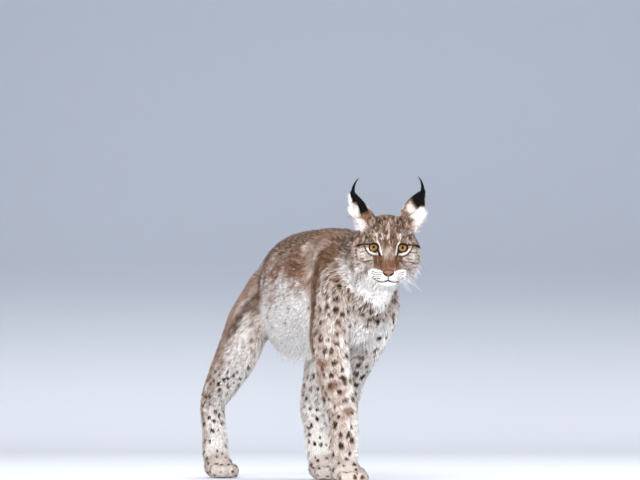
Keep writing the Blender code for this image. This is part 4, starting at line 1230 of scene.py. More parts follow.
def strands(name, path, half_widths, normals, marks, strand, uv):
    """One mesh of closed tapered tufts. path and marks hold each tuft's places and paints from its root to its tip."""
    count, rings = path.shape[0], path.shape[1] - 1
    along = unit((path[:, -1] - path[:, 0]))
    across = unit(np.cross(along, normals))
    upward = np.cross(across, along)
    corners = []
    for k in range(rings):
        width = half_widths[:, k, None]
        for aside, raised in ((1.0, 0.0), (-1.0, 0.0), (0.0, 0.36)):
            corners.append(path[:, k] + across * width * aside + upward * width * raised)
    corners.append(path[:, -1])
    corners = np.stack(corners, 1)
    each = 3 * rings + 1
    faces = [(2, 1, 0)]
    for k in range(rings - 1):
        for a, b in ((0, 1), (1, 2), (2, 0)):
            faces.append((3 * k + a, 3 * k + b, 3 * k + 3 + b, 3 * k + 3 + a))
    for a, b in ((0, 1), (1, 2), (2, 0)):
        faces.append((3 * rings - 3 + a, 3 * rings - 3 + b, 3 * rings))
    sizes = np.array([len(f) for f in faces])
    one = np.concatenate([np.array(f) for f in faces])
    mesh = bpy.data.meshes.new(name)
    mesh.vertices.add(count * each)
    mesh.vertices.foreach_set("co", corners.astype(np.float32).ravel())
    mesh.loops.add(count * len(one))
    mesh.loops.foreach_set("vertex_index", (one + each * np.arange(count)[:, None]).ravel().astype(np.int32))
    mesh.polygons.add(count * len(faces))
    starts = np.concatenate([[0], np.cumsum(sizes)[:-1]]) + len(one) * np.arange(count)[:, None]
    mesh.polygons.foreach_set("loop_start", starts.ravel().astype(np.int32))
    mesh.update(calc_edges=True)
    t = np.append(np.repeat(np.arange(rings) / rings, 3), 1.0)
    tone = np.ones((count, each, 4))
    tone[:, :, 0] = t
    tone[:, :, 1:] = strand[:, None, :]
    ring = np.append(np.repeat(np.arange(rings), 3), rings)
    for title, values in (("coat_marks", marks[:, ring]), ("coat_strand", tone)):
        layer = mesh.attributes.new(title, "FLOAT_COLOR", "POINT")
        layer.data.foreach_set("color", values.astype(np.float32).ravel())
    patch_u = np.append(np.tile((0.0, 1.0, 0.5), rings), 0.5)[one] - 0.5
    patch_v = t[one] - 0.5
    spot = uv[:, None] + 0.003 * np.stack([patch_u, patch_v], 1)
    mesh.uv_layers.new(name="OFBake").uv.foreach_set("vector", spot.astype(np.float32).ravel())
    made = bpy.data.objects.new(name, mesh)
    bpy.context.scene.collection.objects.link(made)
    return made


COAT_PIECES = {  # name of a piece of the coat, and the limbs that it covers
    "coat_tail": ("tail",),
    "coat_neck": ("neck",),
    "coat_foreleg_right": ("foreleg_right",),
    "coat_foreleg_left": ("foreleg_left",),
    "coat_hindleg_right": ("hindleg_right",),
    "coat_hindleg_left": ("hindleg_left",),
    "coat_paws": ("paw",),
}
MOST_TUFTS = 19000  # in one piece, so that it stays under 200,000 triangles


def piece_names(points, lie):
    """The piece of the coat that each root belongs to."""
    strongest = np.argmax(np.stack([lie["limb"][name] for name in LIMBS], 1), 1)
    y = points[:, 1] - WITHERS_PLACE.y
    names = np.select([y < 0.10, y < 0.25], ["coat_chest", "coat_loin"], "coat_rump").astype("U24")
    for name, limbs in COAT_PIECES.items():
        names[np.isin(strongest, [LIMBS.index(limb) for limb in limbs])] = name
    q = in_head(points)
    head = head_share(points) > 0.5
    names[head] = np.where(q[head, 1] < 0.030, "coat_face", "coat_head")
    for side in ("left", "right"):
        names[ear_share(points, side) > 0.5] = "coat_ear_" + side
    return names


def coat(skin, tree, spots, material):
    """Fur over the whole skin, in tufts that follow its lie and lean together in small clumps."""
    place, normal, uv = root_rows(skin, density)
    lie = read_lie(place)
    sizes = coat_sizes(place, lie)
    way = fur_ways(place, normal, lie)
    aside = np.cross(normal, way)
    turn = rng.normal(0, 0.16, len(place))[:, None]
    way = unit(way + aside * turn)
    length = sizes[:, 0] * rng.uniform(0.72, 1.22, len(place))
    lift = sizes[:, 2] * rng.uniform(0.65, 1.25, len(place))

    # clumps: tufts whose roots are near one another lean to a common middle
    clump = 0.45 * sizes[:, 0]
    cell = np.floor(place / 0.014 + 0.35 * np.stack([ripple(place, 0.03, s) for s in (61, 62, 63)], 1)).astype(int)
    _, which = np.unique(cell, axis=0, return_inverse=True)
    which = which.reshape(-1)
    weight = np.bincount(which)
    middle = np.stack([np.bincount(which, place[:, k]) for k in range(3)], 1) / weight[:, None]
    pull = (middle[which] - place) * (0.24 * np.clip(clump / 0.010, 0, 1))[:, None]

    points = numbers(skin.data.vertices, "co").astype(float)
    normals = numbers(skin.data.vertex_normals, "vector").astype(float)
    bend = place + way * (length * 0.5)[:, None] + pull * 0.45
    tip = place + way * length[:, None] + pull
    low_bend, bend = follow(tree, points, normals, bend, lift * 0.62)
    low_tip, tip = follow(tree, points, normals, tip, lift)
    tip[:, 2] = np.maximum(tip[:, 2], 0.002)
    root = place - normal * 0.0008
    path = np.stack([root, bend, tip], 1)
    width = sizes[:, 1] * rng.uniform(0.75, 1.25, len(place))
    widths = np.stack([width * 0.36, width * 0.5], 1)
    middle_marks, tip_marks = (all_marks(shows, read_lie(shows), spots) for shows in (low_bend, low_tip))
    marks = np.stack([middle_marks, middle_marks, tip_marks], 1)
    strand = np.stack([rng.uniform(size=len(place)), rng.uniform(size=len(place)), frost(place, lie)], 1)
    names = piece_names(place, lie)
    made = []
    for name in sorted(set(names)):
        rows = np.nonzero(names == name)[0]
        parts = -(-len(rows) // MOST_TUFTS)
        for k in range(parts):
            title = name if parts == 1 else f"{name}_{k + 1}"
            some = rows[k::parts]
            piece = strands(title, path[some], widths[some], normal[some], marks[some], strand[some], uv[some])
            piece.data.materials.append(material)
            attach(piece, "root")
            made.append(piece)
    return made


def long_hair(name, skin, spots, material, chosen, count, length, width, way_of, lift, slot, drop=0.25, marks_of=None):
    """Longer bent tufts that stand free of the coat, from roots that chosen picks on the skin."""
    place, normal, uv = root_rows(skin, lambda p, n: count * chosen(p, n) * 1.0)
    way = unit(way_of(place, normal))
    way = unit(way + rng.normal(0, 0.10, place.shape))
    size = (length(place) if callable(length) else length) * rng.uniform(0.75, 1.15, len(place))
    sink = place - normal * 0.001
    path = []
    for t in (0.0, 0.3, 0.65, 1.0):
        fall = np.array((0, 0, -drop)) * (t * t)
        path.append(sink + (way * t + fall) * size[:, None] + normal * (lift * t * size)[:, None])
    path = np.stack(path, 1)
    path[:, :, 2] = np.maximum(path[:, :, 2], 0.002)
    widths = width * rng.uniform(0.8, 1.2, len(place))[:, None] * np.array((0.42, 0.5, 0.34))
    shows = place + level(way, normal) * size[:, None] * 0.5
    marks = marks_of(shows) if marks_of else all_marks(shows, read_lie(shows), spots)
    marks = np.repeat(marks[:, None], path.shape[1], 1)
    strand = np.column_stack([rng.uniform(size=(len(place), 2)), np.full(len(place), 0.2)])
    piece = strands(name, path, widths, normal, marks, strand, uv)
    piece.data.materials.append(material)
    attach(piece, "root")
    return piece


# Materials


def material(name):
    made = bpy.data.materials.new(name)
    made.use_nodes = True
    return made, made.node_tree.nodes, made.node_tree.links, made.node_tree.nodes["Principled BSDF"]


def node(nodes, kind, **fields):
    made = nodes.new(kind)
    for name, value in fields.items():
        setattr(made, name, value)
    return made


def mixed(tree, share, low, high):
    """The colour low where share is 0, high where it is 1. Each is a socket or a colour."""
    mix = node(tree.nodes, "ShaderNodeMix", data_type="RGBA", clamp_factor=True)
    for socket, value in ((mix.inputs[0], share), (mix.inputs[6], low), (mix.inputs[7], high)):
        if isinstance(value, bpy.types.NodeSocket):
            tree.links.new(value, socket)
        else:
            socket.default_value = value
    return mix.outputs[2]


def sums(tree, operation, first, second, clamp=False):
    made = node(tree.nodes, "ShaderNodeMath", operation=operation, use_clamp=clamp)
    for socket, value in zip(made.inputs, (first, second)):
        if isinstance(value, bpy.types.NodeSocket):
            tree.links.new(value, socket)
        else:
            socket.default_value = value
    return made.outputs[0]


def ranged(tree, value, low, high, first=0.0, last=1.0):
    made = node(tree.nodes, "ShaderNodeMapRange", clamp=True, interpolation_type="SMOOTHSTEP")
    tree.links.new(value, made.inputs["Value"])
    for name, number in (("From Min", low), ("From Max", high), ("To Min", first), ("To Max", last)):
        made.inputs[name].default_value = number
    return made.outputs["Result"]


def coat_colour_group():
    """Colour of the fur from the shares of its paints, with painted shade that darkens each root, lighter tips and
    tuft-to-tuft change.
    """
    group = bpy.data.node_groups.new("Coat colour", "ShaderNodeTree")
    group.interface.new_socket("Marks", in_out="INPUT", socket_type="NodeSocketColor")
    group.interface.new_socket("Snow", in_out="INPUT", socket_type="NodeSocketFloat")
    group.interface.new_socket("Along", in_out="INPUT", socket_type="NodeSocketFloat")
    group.interface.new_socket("Chance", in_out="INPUT", socket_type="NodeSocketFloat")
    group.interface.new_socket("Second chance", in_out="INPUT", socket_type="NodeSocketFloat")
    group.interface.new_socket("Frost", in_out="INPUT", socket_type="NodeSocketFloat")
    group.interface.new_socket("Colour", in_out="OUTPUT", socket_type="NodeSocketColor")
    tree = group
    source = tree.nodes.new("NodeGroupInput").outputs
    split = tree.nodes.new("ShaderNodeSeparateColor")
    tree.links.new(source["Marks"], split.inputs[0])
    earth, rufous, ink = split.outputs
    # shares that were laid one over another are read as mixes, the lightest paint last
    colour = mixed(tree, earth, SAND, EARTH)
    colour = mixed(tree, sums(tree, "MULTIPLY", rufous, 1.15), colour, RUFOUS)
    colour = mixed(tree, source["Snow"], colour, SNOW)
    tone = ranged(tree, source["Chance"], 0.0, 1.0, 0.88, 1.08)
    # painted shade: each tuft darker towards its root, deep in the coat, times its random tone
    shade = sums(tree, "MULTIPLY", tone, ranged(tree, source["Along"], 0.0, 0.65, 0.80, 1.0))
    bright = node(tree.nodes, "ShaderNodeVectorMath", operation="SCALE")
    tree.links.new(colour, bright.inputs[0])
    tree.links.new(shade, bright.inputs["Scale"])
    colour = bright.outputs[0]
    tip = ranged(tree, source["Along"], 0.55, 0.95)
    silver = sums(tree, "MULTIPLY", tip, ranged(tree, source["Second chance"], 0.55, 0.75))
    silver = sums(tree, "MULTIPLY", silver, source["Frost"])
    colour = mixed(tree, silver, colour, SNOW)
    dusky = ranged(tree, source["Second chance"], 0.22, 0.12, 0.0, 0.38)
    dusky = sums(tree, "MULTIPLY", sums(tree, "MULTIPLY", tip, dusky), ranged(tree, source["Snow"], 0.2, 0.6, 1.0, 0.0))
    colour = mixed(tree, dusky, colour, EARTH)
    colour = mixed(tree, sums(tree, "MULTIPLY", ink, 1.10), colour, INK)
    result = tree.nodes.new("NodeGroupOutput")
    tree.links.new(colour, result.inputs["Colour"])
    return group


def coat_material(name, group, on_skin):
    made, nodes, links, shader = material(name)
    use = node(nodes, "ShaderNodeGroup", node_tree=group)
    marks = node(nodes, "ShaderNodeAttribute", attribute_name="coat_marks")
    links.new(marks.outputs["Color"], use.inputs["Marks"])
    links.new(marks.outputs["Alpha"], use.inputs["Snow"])
    if on_skin:
        fine = node(nodes, "ShaderNodeTexCoord")
        noise = node(nodes, "ShaderNodeTexNoise")
        noise.inputs["Scale"].default_value = 420
        links.new(fine.outputs["Object"], noise.inputs["Vector"])
        links.new(noise.outputs["Fac"], use.inputs["Chance"])
        # the skin under the fur takes the painted shade of the roots, deep in the coat
        use.inputs["Along"].default_value = 0.22
        use.inputs["Second chance"].default_value = 0.4
    else:
        strand = node(nodes, "ShaderNodeAttribute", attribute_name="coat_strand")
        split = nodes.new("ShaderNodeSeparateColor")
        links.new(strand.outputs["Color"], split.inputs[0])
        for output, name in zip(split.outputs, ("Along", "Chance", "Second chance")):
            links.new(output, use.inputs[name])
        links.new(strand.outputs["Alpha"], use.inputs["Frost"])
    links.new(use.outputs["Colour"], shader.inputs["Base Color"])
    shader.inputs["Roughness"].default_value = 0.80
    shader.inputs["Specular IOR Level"].default_value = 0.07
    return made


def dark_material(name, colour, roughness, coat, scale, depth):
    """Bare dark skin: fine bumps under a damp shine."""
    made, nodes, links, shader = material(name)
    place = nodes.new("ShaderNodeTexCoord")
    cells = node(nodes, "ShaderNodeTexVoronoi", feature="F1")
    cells.inputs["Scale"].default_value = scale
    links.new(place.outputs["Object"], cells.inputs["Vector"])
    bump = nodes.new("ShaderNodeBump")
    bump.inputs["Strength"].default_value = 0.5
    bump.inputs["Distance"].default_value = depth
    links.new(cells.outputs["Distance"], bump.inputs["Height"])
    links.new(bump.outputs["Normal"], shader.inputs["Normal"])
    shader.inputs["Base Color"].default_value = colour
    shader.inputs["Roughness"].default_value = roughness
    shader.inputs["Specular IOR Level"].default_value = 0.15
    shader.inputs["Coat Weight"].default_value = coat
    shader.inputs["Coat Roughness"].default_value = 0.25
    return made, nodes, links, shader


def nose_material():
    made, nodes, links, shader = dark_material("nose", NOSE_PINK, 0.55, 0.04, 900, 0.0004)
    # the pad's dark edge and middle line, and painted shade in the nostrils
    dark = node(nodes, "ShaderNodeAttribute", attribute_name="nose_rim_and_nostril_shade")
    tree = made.node_tree
    links.new(mixed(tree, dark.outputs["Fac"], NOSE_PINK, NOSE_DARK), shader.inputs["Base Color"])
    return made


def eye_material(name, centre, gaze):
    """Iris, pupil and dark rim, laid out by how far each place is round from the middle of the gaze."""
    made, nodes, links, shader = material(name)
    tree = made.node_tree
    place = nodes.new("ShaderNodeTexCoord")
    away = node(nodes, "ShaderNodeVectorMath", operation="SUBTRACT")
    links.new(place.outputs["Object"], away.inputs[0])
    away.inputs[1].default_value = centre
    flat = node(nodes, "ShaderNodeVectorMath", operation="CROSS_PRODUCT")
    links.new(away.outputs[0], flat.inputs[0])
    flat.inputs[1].default_value = gaze
    size = node(nodes, "ShaderNodeVectorMath", operation="LENGTH")
    links.new(flat.outputs[0], size.inputs[0])
    out = size.outputs["Value"]
    threads = node(nodes, "ShaderNodeTexNoise")
    threads.inputs["Scale"].default_value = 1.0
    threads.inputs["Detail"].default_value = 3
    turned = node(nodes, "ShaderNodeVectorMath", operation="NORMALIZE")
    links.new(flat.outputs[0], turned.inputs[0])
    spread = node(nodes, "ShaderNodeVectorMath", operation="SCALE")
    spread.inputs["Scale"].default_value = 9
    links.new(turned.outputs[0], spread.inputs[0])
    links.new(spread.outputs[0], threads.inputs["Vector"])
    iris = mixed(tree, ranged(tree, threads.outputs["Fac"], 0.35, 0.65), AMBER, HONEY)
    iris = mixed(tree, ranged(tree, out, 0.0055, 0.0026, 0.0, 0.75), iris, HONEY)
    iris = mixed(tree, ranged(tree, out, 0.0082, 0.0098), iris, UMBER)
    shade = node(nodes, "ShaderNodeAttribute", attribute_name="lid_shade")
    iris = mixed(tree, shade.outputs["Fac"], iris, UMBER)
    iris = mixed(tree, ranged(tree, out, 0.0035, 0.0030), iris, (0.002, 0.0015, 0.0015, 1))
    iris = mixed(tree, ranged(tree, out, 0.0100, 0.0105), iris, (0.008, 0.006, 0.005, 1))
    links.new(iris, shader.inputs["Base Color"])
    shader.inputs["Roughness"].default_value = 0.60
    shader.inputs["Specular IOR Level"].default_value = 0.0
    shader.inputs["Coat Weight"].default_value = 0.25
    shader.inputs["Coat Roughness"].default_value = 0.03
    return made


def plain_material(name, colour, roughness):
    made, nodes, links, shader = material(name)
    place = nodes.new("ShaderNodeTexCoord")
    noise = node(nodes, "ShaderNodeTexNoise")
    noise.inputs["Scale"].default_value = 260
    links.new(place.outputs["Object"], noise.inputs["Vector"])
    dim = tuple(c * 0.9 for c in colour[:3]) + (1.0,)
    links.new(mixed(made.node_tree, noise.outputs["Fac"], colour, dim), shader.inputs["Base Color"])
    shader.inputs["Roughness"].default_value = roughness
    return made


# Eyes, lids, nose, lips and whiskers


def finish_piece(piece, made, slot, *replaced):
    piece.data.materials.clear()
    piece.data.materials.append(made)
    piece.data.shade_smooth()
    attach(piece, "root")
    if replaced:
        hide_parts(*replaced)
    return piece


def eyes():
    for name, side in (("eyeball_left", 1), ("eyeball_right", -1)):
        centre = Vector((side * EYE_SPACING / 2, 0, 0))
        bm = bmesh.new()
        ball(bm, centre, [EYE_RADIUS] * 3, HEAD, (64, 48))
        middle, gaze = HEAD @ centre, (HEAD.to_3x3() @ TO_CAMERA).normalized()
        for v in bm.verts:  # the cornea stands forward of the ball
            away = v.co - middle
            share = max(0.0, away.normalized().dot(gaze) - 0.72) / 0.28
            v.co = middle + away * (1 + 0.055 * share * (2 - share))
        heights = np.array([v.co.z - middle.z for v in bm.verts])
        piece = object_of(name, bm)
        layer = piece.data.attributes.new("lid_shade", "FLOAT", "POINT")
        layer.data.foreach_set("value", 0.80 * smooth_step(heights, -0.0010, 0.0070))
        finish_piece(piece, eye_material(name, middle, gaze), "eye", name.replace("ball", ""))


def lid_rims(made):
    """The thin dark rim of bare skin along the lids."""
    for name, side in (("lid_rim_left", 1), ("lid_rim_right", -1)):
        centre = Vector((side * EYE_SPACING / 2, 0, 0))
        radius = EYE_RADIUS + 0.0006
        places = []
        for k in range(49):
            across, up = almond(math.tau * k / 48)
            flat = Vector((side * across * 0.985, 0, up * 0.985))
            flat.y = -math.sqrt(max(radius**2 - flat.length_squared, 0.0000004))
            places.append((HEAD @ (centre + flat), HEAD.to_3x3() @ flat.normalized()))
        frames = places[:-1] + places[:1]
        finish_piece(tube(name, frames, [0.0006] * len(frames), 1.0, 8), made, "fur_black")


def nose_pad(made):
    """A broad pad with a groove down its middle and a comma-shaped nostril each side, a shallow dent that is painted
    black as the nostril's shade.
    """
    bm = bmesh.new()
    ball(bm, NOSE_CENTRE, NOSE_RADII, Matrix.Identity(4), (72, 54))
    for v in bm.verts:
        x, y, z = ((v.co[i] - NOSE_CENTRE[i]) / NOSE_RADII[i] for i in range(3))
        narrow = 1 - 0.30 * max(0.0, -z) ** 1.5 + 0.10 * max(0.0, z)
        x *= narrow
        y -= 0.16 * max(0.0, z) * (y < 0)
        front = max(0.0, -y)
        groove = math.exp(-((x / 0.075) ** 2)) * front * (1.0 if z < 0.3 else max(0.0, 1 - (z - 0.3) / 0.5))
        y += 0.17 * groove
        bend = (abs(x) - 0.56 - 0.30 * (z + 0.16)) / 0.22
        hole = math.exp(-(bend**2) - ((z + 0.16) / 0.30) ** 2) * front
        y += 0.20 * hole - 0.36
        v.co = Vector((x * NOSE_RADII[0], y * NOSE_RADII[1], z * NOSE_RADII[2])) + NOSE_CENTRE
    shapes = [v.co.copy() for v in bm.verts]
    bmesh.ops.transform(bm, verts=bm.verts, matrix=HEAD)
    piece = object_of("nose_pad", bm)
    # the pad's paints: black painted shade in each nostril's dent, its own dark edge, and a dark line down the lower
    # groove
    dark = []
    for co in shapes:
        x, z = abs(co.x) / NOSE_RADII[0], (co.z - NOSE_CENTRE.z) / NOSE_RADII[2]
        nostril = math.exp(-(((x - 0.56 - 0.30 * (z + 0.16)) / 0.28) ** 4) - ((z + 0.20) / 0.34) ** 4)
        edge = max(0.0, min(1.0, (math.hypot(x * 0.90, z) - 0.70) / 0.22))
        line = math.exp(-((x / 0.06) ** 2)) * (z < 0.0)
        dark.append(min(1.0, max(nostril * 1.5, 0.6 * edge, 0.6 * line)))
    layer = piece.data.attributes.new("nose_rim_and_nostril_shade", "FLOAT", "POINT")
    layer.data.foreach_set("value", dark)
    finish_piece(piece, made, "nose_skin", "nose")


def lips(tree, made):
    for name, side in (("lip_left", 1), ("lip_right", -1)):
        radii = [0.0017] * 10 + [0.0016, 0.0015, 0.0013, 0.0011, 0.0009, 0.0006]
        finish_piece(tube(name, mouth_places(tree, side, -0.0006), radii, 1.0, 8), made, "fur_black")
    places = [on_face(tree, 0.0, up, -0.0004) for up in (-0.063, -0.067, -0.071, -0.075, -0.0785)]
    finish_piece(tube("philtrum", places, [0.0011] * 5, 1.0, 8), made, "fur_black")


def whiskers(tree, made):
    """Long white bristles from the rows of dark spots on the lips, and a few over each eye."""
    paths, normals = [], []
    turn = HEAD.to_3x3()
    for side in (-1, 1):
        for row, rise in enumerate((-0.0595, -0.0638, -0.0682, -0.0725)):
            for k in range(3):
                across = 0.0185 + 0.0068 * k + 0.0012 * row
                root, normal = on_face(tree, side * across, rise, -0.001)
                way = Vector((side * (0.75 + 0.2 * k), -0.62 + 0.12 * k, -0.05 - 0.14 * row + 0.05 * k))
                way = (turn @ way).normalized()
                size = rng.uniform(0.036, 0.056)
                droop = Vector((0, 0.25, -0.55)) * rng.uniform(0.5, 1.2)
                paths.append([root + (way * t + droop * t * t * 0.5) * size for t in np.linspace(0, 1, 7)])
                normals.append(normal)
        for k in range(3):
            root, normal = on_face(tree, side * (0.024 + 0.006 * k), 0.023 + 0.002 * k, -0.001)
            way = (turn @ Vector((side * (0.35 + 0.25 * k), -0.45, 0.75))).normalized()
            size = rng.uniform(0.028, 0.040)
            paths.append([root + (way * t + Vector((0, 0.3, -0.2)) * t * t * 0.5) * size for t in np.linspace(0, 1, 7)])
            normals.append(normal)
    path, normals = np.array([[list(p) for p in line] for line in paths]), np.array([list(n) for n in normals])
    widths = np.full((len(path), 6), 0.00030) * np.linspace(1, 0.55, 6)
    blank = np.zeros((len(path), 7, 4))
    piece = strands("whiskers", path, widths, normals, blank, np.zeros((len(path), 3)), np.full((len(path), 2), 0.5))
    finish_piece(piece, made, "fur_head")


# The long hair of the ears, beard, ruff and belly


def gate(test):
    """A chooser that counts roots only where the test holds."""
    return lambda points, normals: np.asarray(test(points, normals), float)


def head_turned(way):
    return np.array(HEAD.to_3x3() @ Vector(way))


def ear_tuft(side, made):
    """The thin black tuft at the tip of an ear. Its hairs draw together and bend inwards."""
    base, up, opening, _ = ear_axes(side)
    inwards = Vector((1 if side == "right" else -1, 0, 0))
    forward = Vector((0, -1, 0))
    lift = up.normalized()
    crest = base + up + opening * 0.008
    count = 90
    path = []
    for _ in range(count):
        angle, out = rng.uniform(0, math.tau), math.sqrt(rng.uniform())
        spread = (inwards * math.cos(angle) + forward * math.sin(angle)) * out
        root = base + up * (1 - 0.22 * out) + opening * 0.008 + spread * (0.0022 + 0.0040 * out)
        bend = crest + lift * 0.021 + inwards * 0.003 + spread * 0.0018
        tip = crest + lift * 0.040 + inwards * 0.025 + spread * 0.0012
        reach = rng.uniform(0.62, 1.0)
        line = []
        for t in np.linspace(0, reach, 5):
            line.append(HEAD @ (root * (1 - t) ** 2 + bend * (2 * t * (1 - t)) + tip * t * t))
        path.append([list(p) for p in line])
    path = np.array(path)
    widths = 0.00052 * rng.uniform(0.8, 1.2, count)[:, None] * np.array((1.0, 1.0, 0.8, 0.5))
    normals = np.tile(-head_turned(forward), (count, 1)) * -1
    marks = np.zeros((count, 5, 4))
    marks[:, :, INK_MARK] = 0.98
    strand = np.column_stack([rng.uniform(size=(count, 2)), np.zeros(count)])
    piece = strands(f"ear_tuft_{side}", path, widths, normals, marks, strand, np.full((count, 2), 0.5))
    piece.data.materials.append(made)
    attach(piece, "root")


def ear_hair(skin, spots, made):
    """The long white hair inside and along the outer edge of each ear."""
    for side in ("left", "right"):
        _, up, opening, across = ear_axes(side)
        sign = 1 if side == "right" else -1
        out = 0.24 if side == "right" else 0.62
        way = head_turned(up.normalized() + opening * out - across * sign * 0.05)

        def in_ear(points, normals):
            t, out, facing, forward = ear_place(points, side)
            inside = (facing > 0) * (forward < 0.017)
            if side == "left":
                inside = (facing > 0.003) * (forward > 0.006) + (forward > 0.014) > 0
            return 24e4 * (t > -0.10) * (t < (0.50 if side == "right" else 0.20)) * (out < 0.036) * inside

        def white(points):
            marks = np.zeros((len(points), 4))
            marks[:, SNOW_MARK] = 0.97
            return marks

        sizes = dict(count=1.0, length=0.022 if side == "right" else 0.018, width=0.0011, lift=0.05, drop=0.0)
        name = f"ear_fringe_{side}"
        long_hair(name, skin, spots, made, in_ear, way_of=lambda p, n: way + 0.2 * n, slot="fur_ear", marks_of=white, **sizes)
        ear_tuft(side, made)


def ruff_hair(skin, spots, made):
    def on_ruff(points, normals):
        q = in_head(points)
        zone = head_zones(q)
        return 45000 * zone["ruff"] * (np.abs(q[:, 0]) > 0.045) * (head_share(points) > 0.5)

    def on_bib(points, normals):
        q = in_head(points)
        zone = head_zones(q)
        below_lips = q @ np.array(FACE_UP) < -0.086
        return 150000 * zone["bib"] * (np.abs(q[:, 1] - 0.021) < 0.049) * (head_share(points) > 0.4) * below_lips

    def ruff_way(points, normals):
        return head_way(points) + 0.10 * normals + np.array((0, 0, -0.35))

    def bib_way(points, normals):
        return 0.35 * head_way(points) + np.array((0, -0.05, -1.0)) + 0.12 * normals

    long_hair("ruff", skin, spots, made, on_ruff, 1.0, 0.030, 0.0014, ruff_way, 0.07, "fur_head", 0.20)
    long_hair("bib", skin, spots, made, on_bib, 1.0, 0.030, 0.0015, bib_way, 0.10, "fur_head", 0.10)


def ear_foot_hair(skin, spots, made):
    """The longer hair at the foot of each ear: pale outside, where it runs on to the cheek, and brown inside."""
    for name, sign in (("left", 1), ("right", -1)):
        base = Vector(EAR_BASE[name])
        outer_way = head_turned((sign * 0.85, 0.10, 0.55))
        inner_way = head_turned((sign * 0.50, 0.25, 0.85))

        def outer(points, normals):
            q = in_head(points)
            away = np.hypot((sign * q[:, 0] - 0.062) / 0.020, (q[:, 2] - 0.040) / 0.022)
            return 70000 * smooth_step(away, 1.0, 0.6) * (q[:, 1] > 0.020) * (q[:, 1] < base.y + 0.012)

        def inner(points, normals):
            q = in_head(points)
            away = np.hypot((sign * q[:, 0] - 0.040) / 0.014, (q[:, 2] - 0.058) / 0.018)
            return 90000 * smooth_step(away, 1.0, 0.6) * (q[:, 1] < base.y + 0.016)

        pale = f"ear_foot_outer_{name}"
        long_hair(pale, skin, spots, made, outer, 1.0, 0.022, 0.0012, lambda p, n: outer_way + 0.3 * n, 0.05, "fur_head", 0.0)
        brown = f"ear_foot_inner_{name}"
        long_hair(brown, skin, spots, made, inner, 1.0, 0.019, 0.0012, lambda p, n: inner_way + 0.2 * n, 0.05, "fur_head", 0.0)


def belly_hair(skin, spots, made):
    def on_belly(points, normals):
        lie = read_lie(points)
        return 26000 * lie["limb"]["trunk"] * smooth_step(trunk_height(points), 0.20, 0.05) * (normals[:, 2] < -0.3)

    def way(points, normals):
        lie = read_lie(points)
        return level(lie["way"], normals) + 0.10 * normals + np.array((0, 0, -0.30))

    long_hair("belly", skin, spots, made, on_belly, 1.0, 0.050, 0.0015, way, 0.01, "fur_body", 0.12)


# Build the looks

FLESH = (  # the nodes of the solids that the skin stands for
    *("head", "neck", "chest", "loin", "rump", "tail", "tail_tip", "ear_left", "ear_right"),
    *("foreleg_left", "foreleg_right", "forepaw_left", "forepaw_right"),
    *("thigh_left", "thigh_right", "hindleg_left", "hindleg_right", "hindpaw_left", "hindpaw_right"),
)

skin, face_tree = skin_piece()
unwrap(skin)
skin_points = numbers(skin.data.vertices, "co").astype(float)
skin_lie = read_lie(skin_points)
spots = spot_rows(skin_points, skin_lie, head_share(skin_points))
layer = skin.data.attributes.new("coat_marks", "FLOAT_COLOR", "POINT")
layer.data.foreach_set("color", all_marks(skin_points, skin_lie, spots).astype(np.float32).ravel())

coat_group = coat_colour_group()
finish_piece(skin, coat_material("skin", coat_group, True), "fur_body", *FLESH)
fur = coat_material("fur", coat_group, False)

vertex_tree = KDTree(len(skin_points))
for i, point in enumerate(skin_points):
    vertex_tree.insert(point, i)
vertex_tree.balance()
coat(skin, vertex_tree, spots, fur)
ear_hair(skin, spots, fur)
ruff_hair(skin, spots, fur)
ear_foot_hair(skin, spots, fur)
belly_hair(skin, spots, fur)

eyes()
bare_black = dark_material("bare_black", INK, 0.50, 0.05, 700, 0.0002)[0]
lid_rims(bare_black)
lips(face_tree, bare_black)
nose_pad(nose_material())
whiskers(face_tree, plain_material("whisker", paint(245, 242, 236), 0.45))


# Floor, light and camera


def stage_material():
    """Pale on the floor, a little darker up the backdrop, so that white fur stands out."""
    made, nodes, _, shader = material("stage")
    place = nodes.new("ShaderNodeTexCoord")
    height = nodes.new("ShaderNodeSeparateXYZ")
    tree = made.node_tree
    tree.links.new(place.outputs["Object"], height.inputs[0])
    upper = ranged(tree, height.outputs["Z"], 0.0, 0.7)
    tree.links.new(mixed(tree, upper, paint(204, 207, 213), paint(146, 152, 163)), shader.inputs["Base Color"])
    shader.inputs["Roughness"].default_value = 0.9
    return made


def stage_floor():
    """A pale floor that curves up into a backdrop, facing the camera."""
    bm = bmesh.new()
    turn = Matrix.Rotation(-CAMERA_SIDE, 4, "Z")
    rows = [(-9.6, 0.0), (3.2, 0.0)]
    for k in range(1, 13):
        angle = math.radians(90) * k / 12
        rows.append((3.2 + 1.6 * math.sin(angle), 1.6 * (1 - math.cos(angle))))
    rows.append((4.8, 7.0))
    left = [bm.verts.new(turn @ Vector((-9, y, z))) for y, z in rows]
    right = [bm.verts.new(turn @ Vector((9, y, z))) for y, z in rows]
    for i in range(len(rows) - 1):
        bm.faces.new((left[i], right[i], right[i + 1], left[i + 1]))
    floor = object_of("floor", bm)
    floor.data.materials.append(stage_material())
    floor.data.shade_smooth()
    return floor


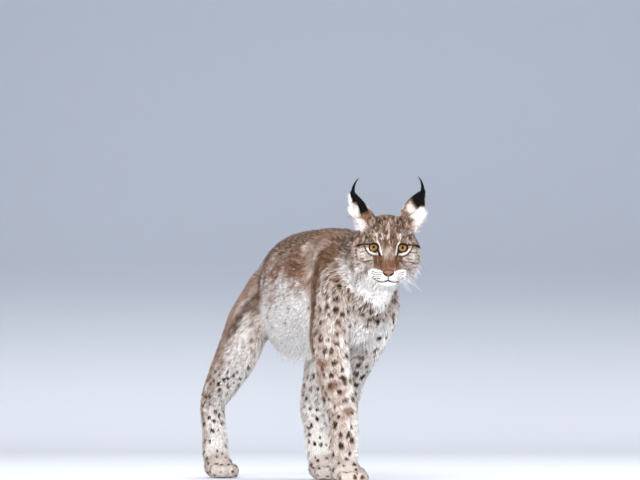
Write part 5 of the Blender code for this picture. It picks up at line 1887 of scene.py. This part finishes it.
def area_light(name, place, target, size, power, colour=(1, 1, 1)):
    light = bpy.data.lights.new(name, "AREA")
    light.shape = "DISK"
    light.size = size
    light.energy = power
    light.color = colour
    made = bpy.data.objects.new(name, light)
    made.location = place
    made.rotation_mode = "QUATERNION"
    made.rotation_quaternion = (Vector(target) - Vector(place)).to_track_quat("-Z", "Y")
    bpy.context.scene.collection.objects.link(made)
    return made


def lights():
    scene = bpy.context.scene
    area_light("key", (-2.6, -3.2, 3.6), (0, -0.1, 0.35), 2.6, 175, (1.0, 0.985, 0.96))
    area_light("fill", (3.2, -3.4, 1.8), (0, -0.1, 0.35), 3.0, 130, (0.95, 0.97, 1.0))
    area_light("top", (0.3, 0.8, 3.8), (0, 0.1, 0.3), 2.4, 80)
    bounce = area_light("bounce", (-2.4, -3.6, 0.12), (0, 0.05, 0.35), 2.2, 350, (0.97, 0.98, 1.0))
    bounce.visible_glossy = False  # or it would whiten the pupils
    world = bpy.data.worlds.new("world")
    world.use_nodes = True
    world.node_tree.nodes["Background"].inputs["Color"].default_value = (0.93, 0.95, 1.0, 1)
    world.node_tree.nodes["Background"].inputs["Strength"].default_value = 0.90
    scene.world = world
    scene.view_settings.view_transform = "Standard"


def camera():
    """Stands where the photo was taken, so that the picture frames the lynx as the photo does."""
    depth = Vector((math.sin(CAMERA_SIDE), math.cos(CAMERA_SIDE), 0))
    right = Vector((math.cos(CAMERA_SIDE), -math.sin(CAMERA_SIDE), 0))
    eye = EYE_PLACE + WITHERS_PLACE
    place = eye - depth * CAMERA_DISTANCE - right * ((EYES_PIXEL_X - 320) / FOCAL_PIXELS * CAMERA_DISTANCE)
    place.z = CAMERA_HEIGHT
    pitch = math.atan((HORIZON_PIXEL_Y - 240) / FOCAL_PIXELS)
    view = bpy.data.cameras.new("camera")
    view.sensor_width = 36
    view.lens = FOCAL_PIXELS / 640 * 36
    made = bpy.data.objects.new("camera", view)
    made.location = place
    made.rotation_mode = "QUATERNION"
    made.rotation_quaternion = (depth * math.cos(pitch) + Vector((0, 0, math.sin(pitch)))).to_track_quat("-Z", "Y")
    bpy.context.scene.collection.objects.link(made)
    bpy.context.scene.camera = made


stage_floor()
lights()
camera()

bpy.context.view_layer.update()
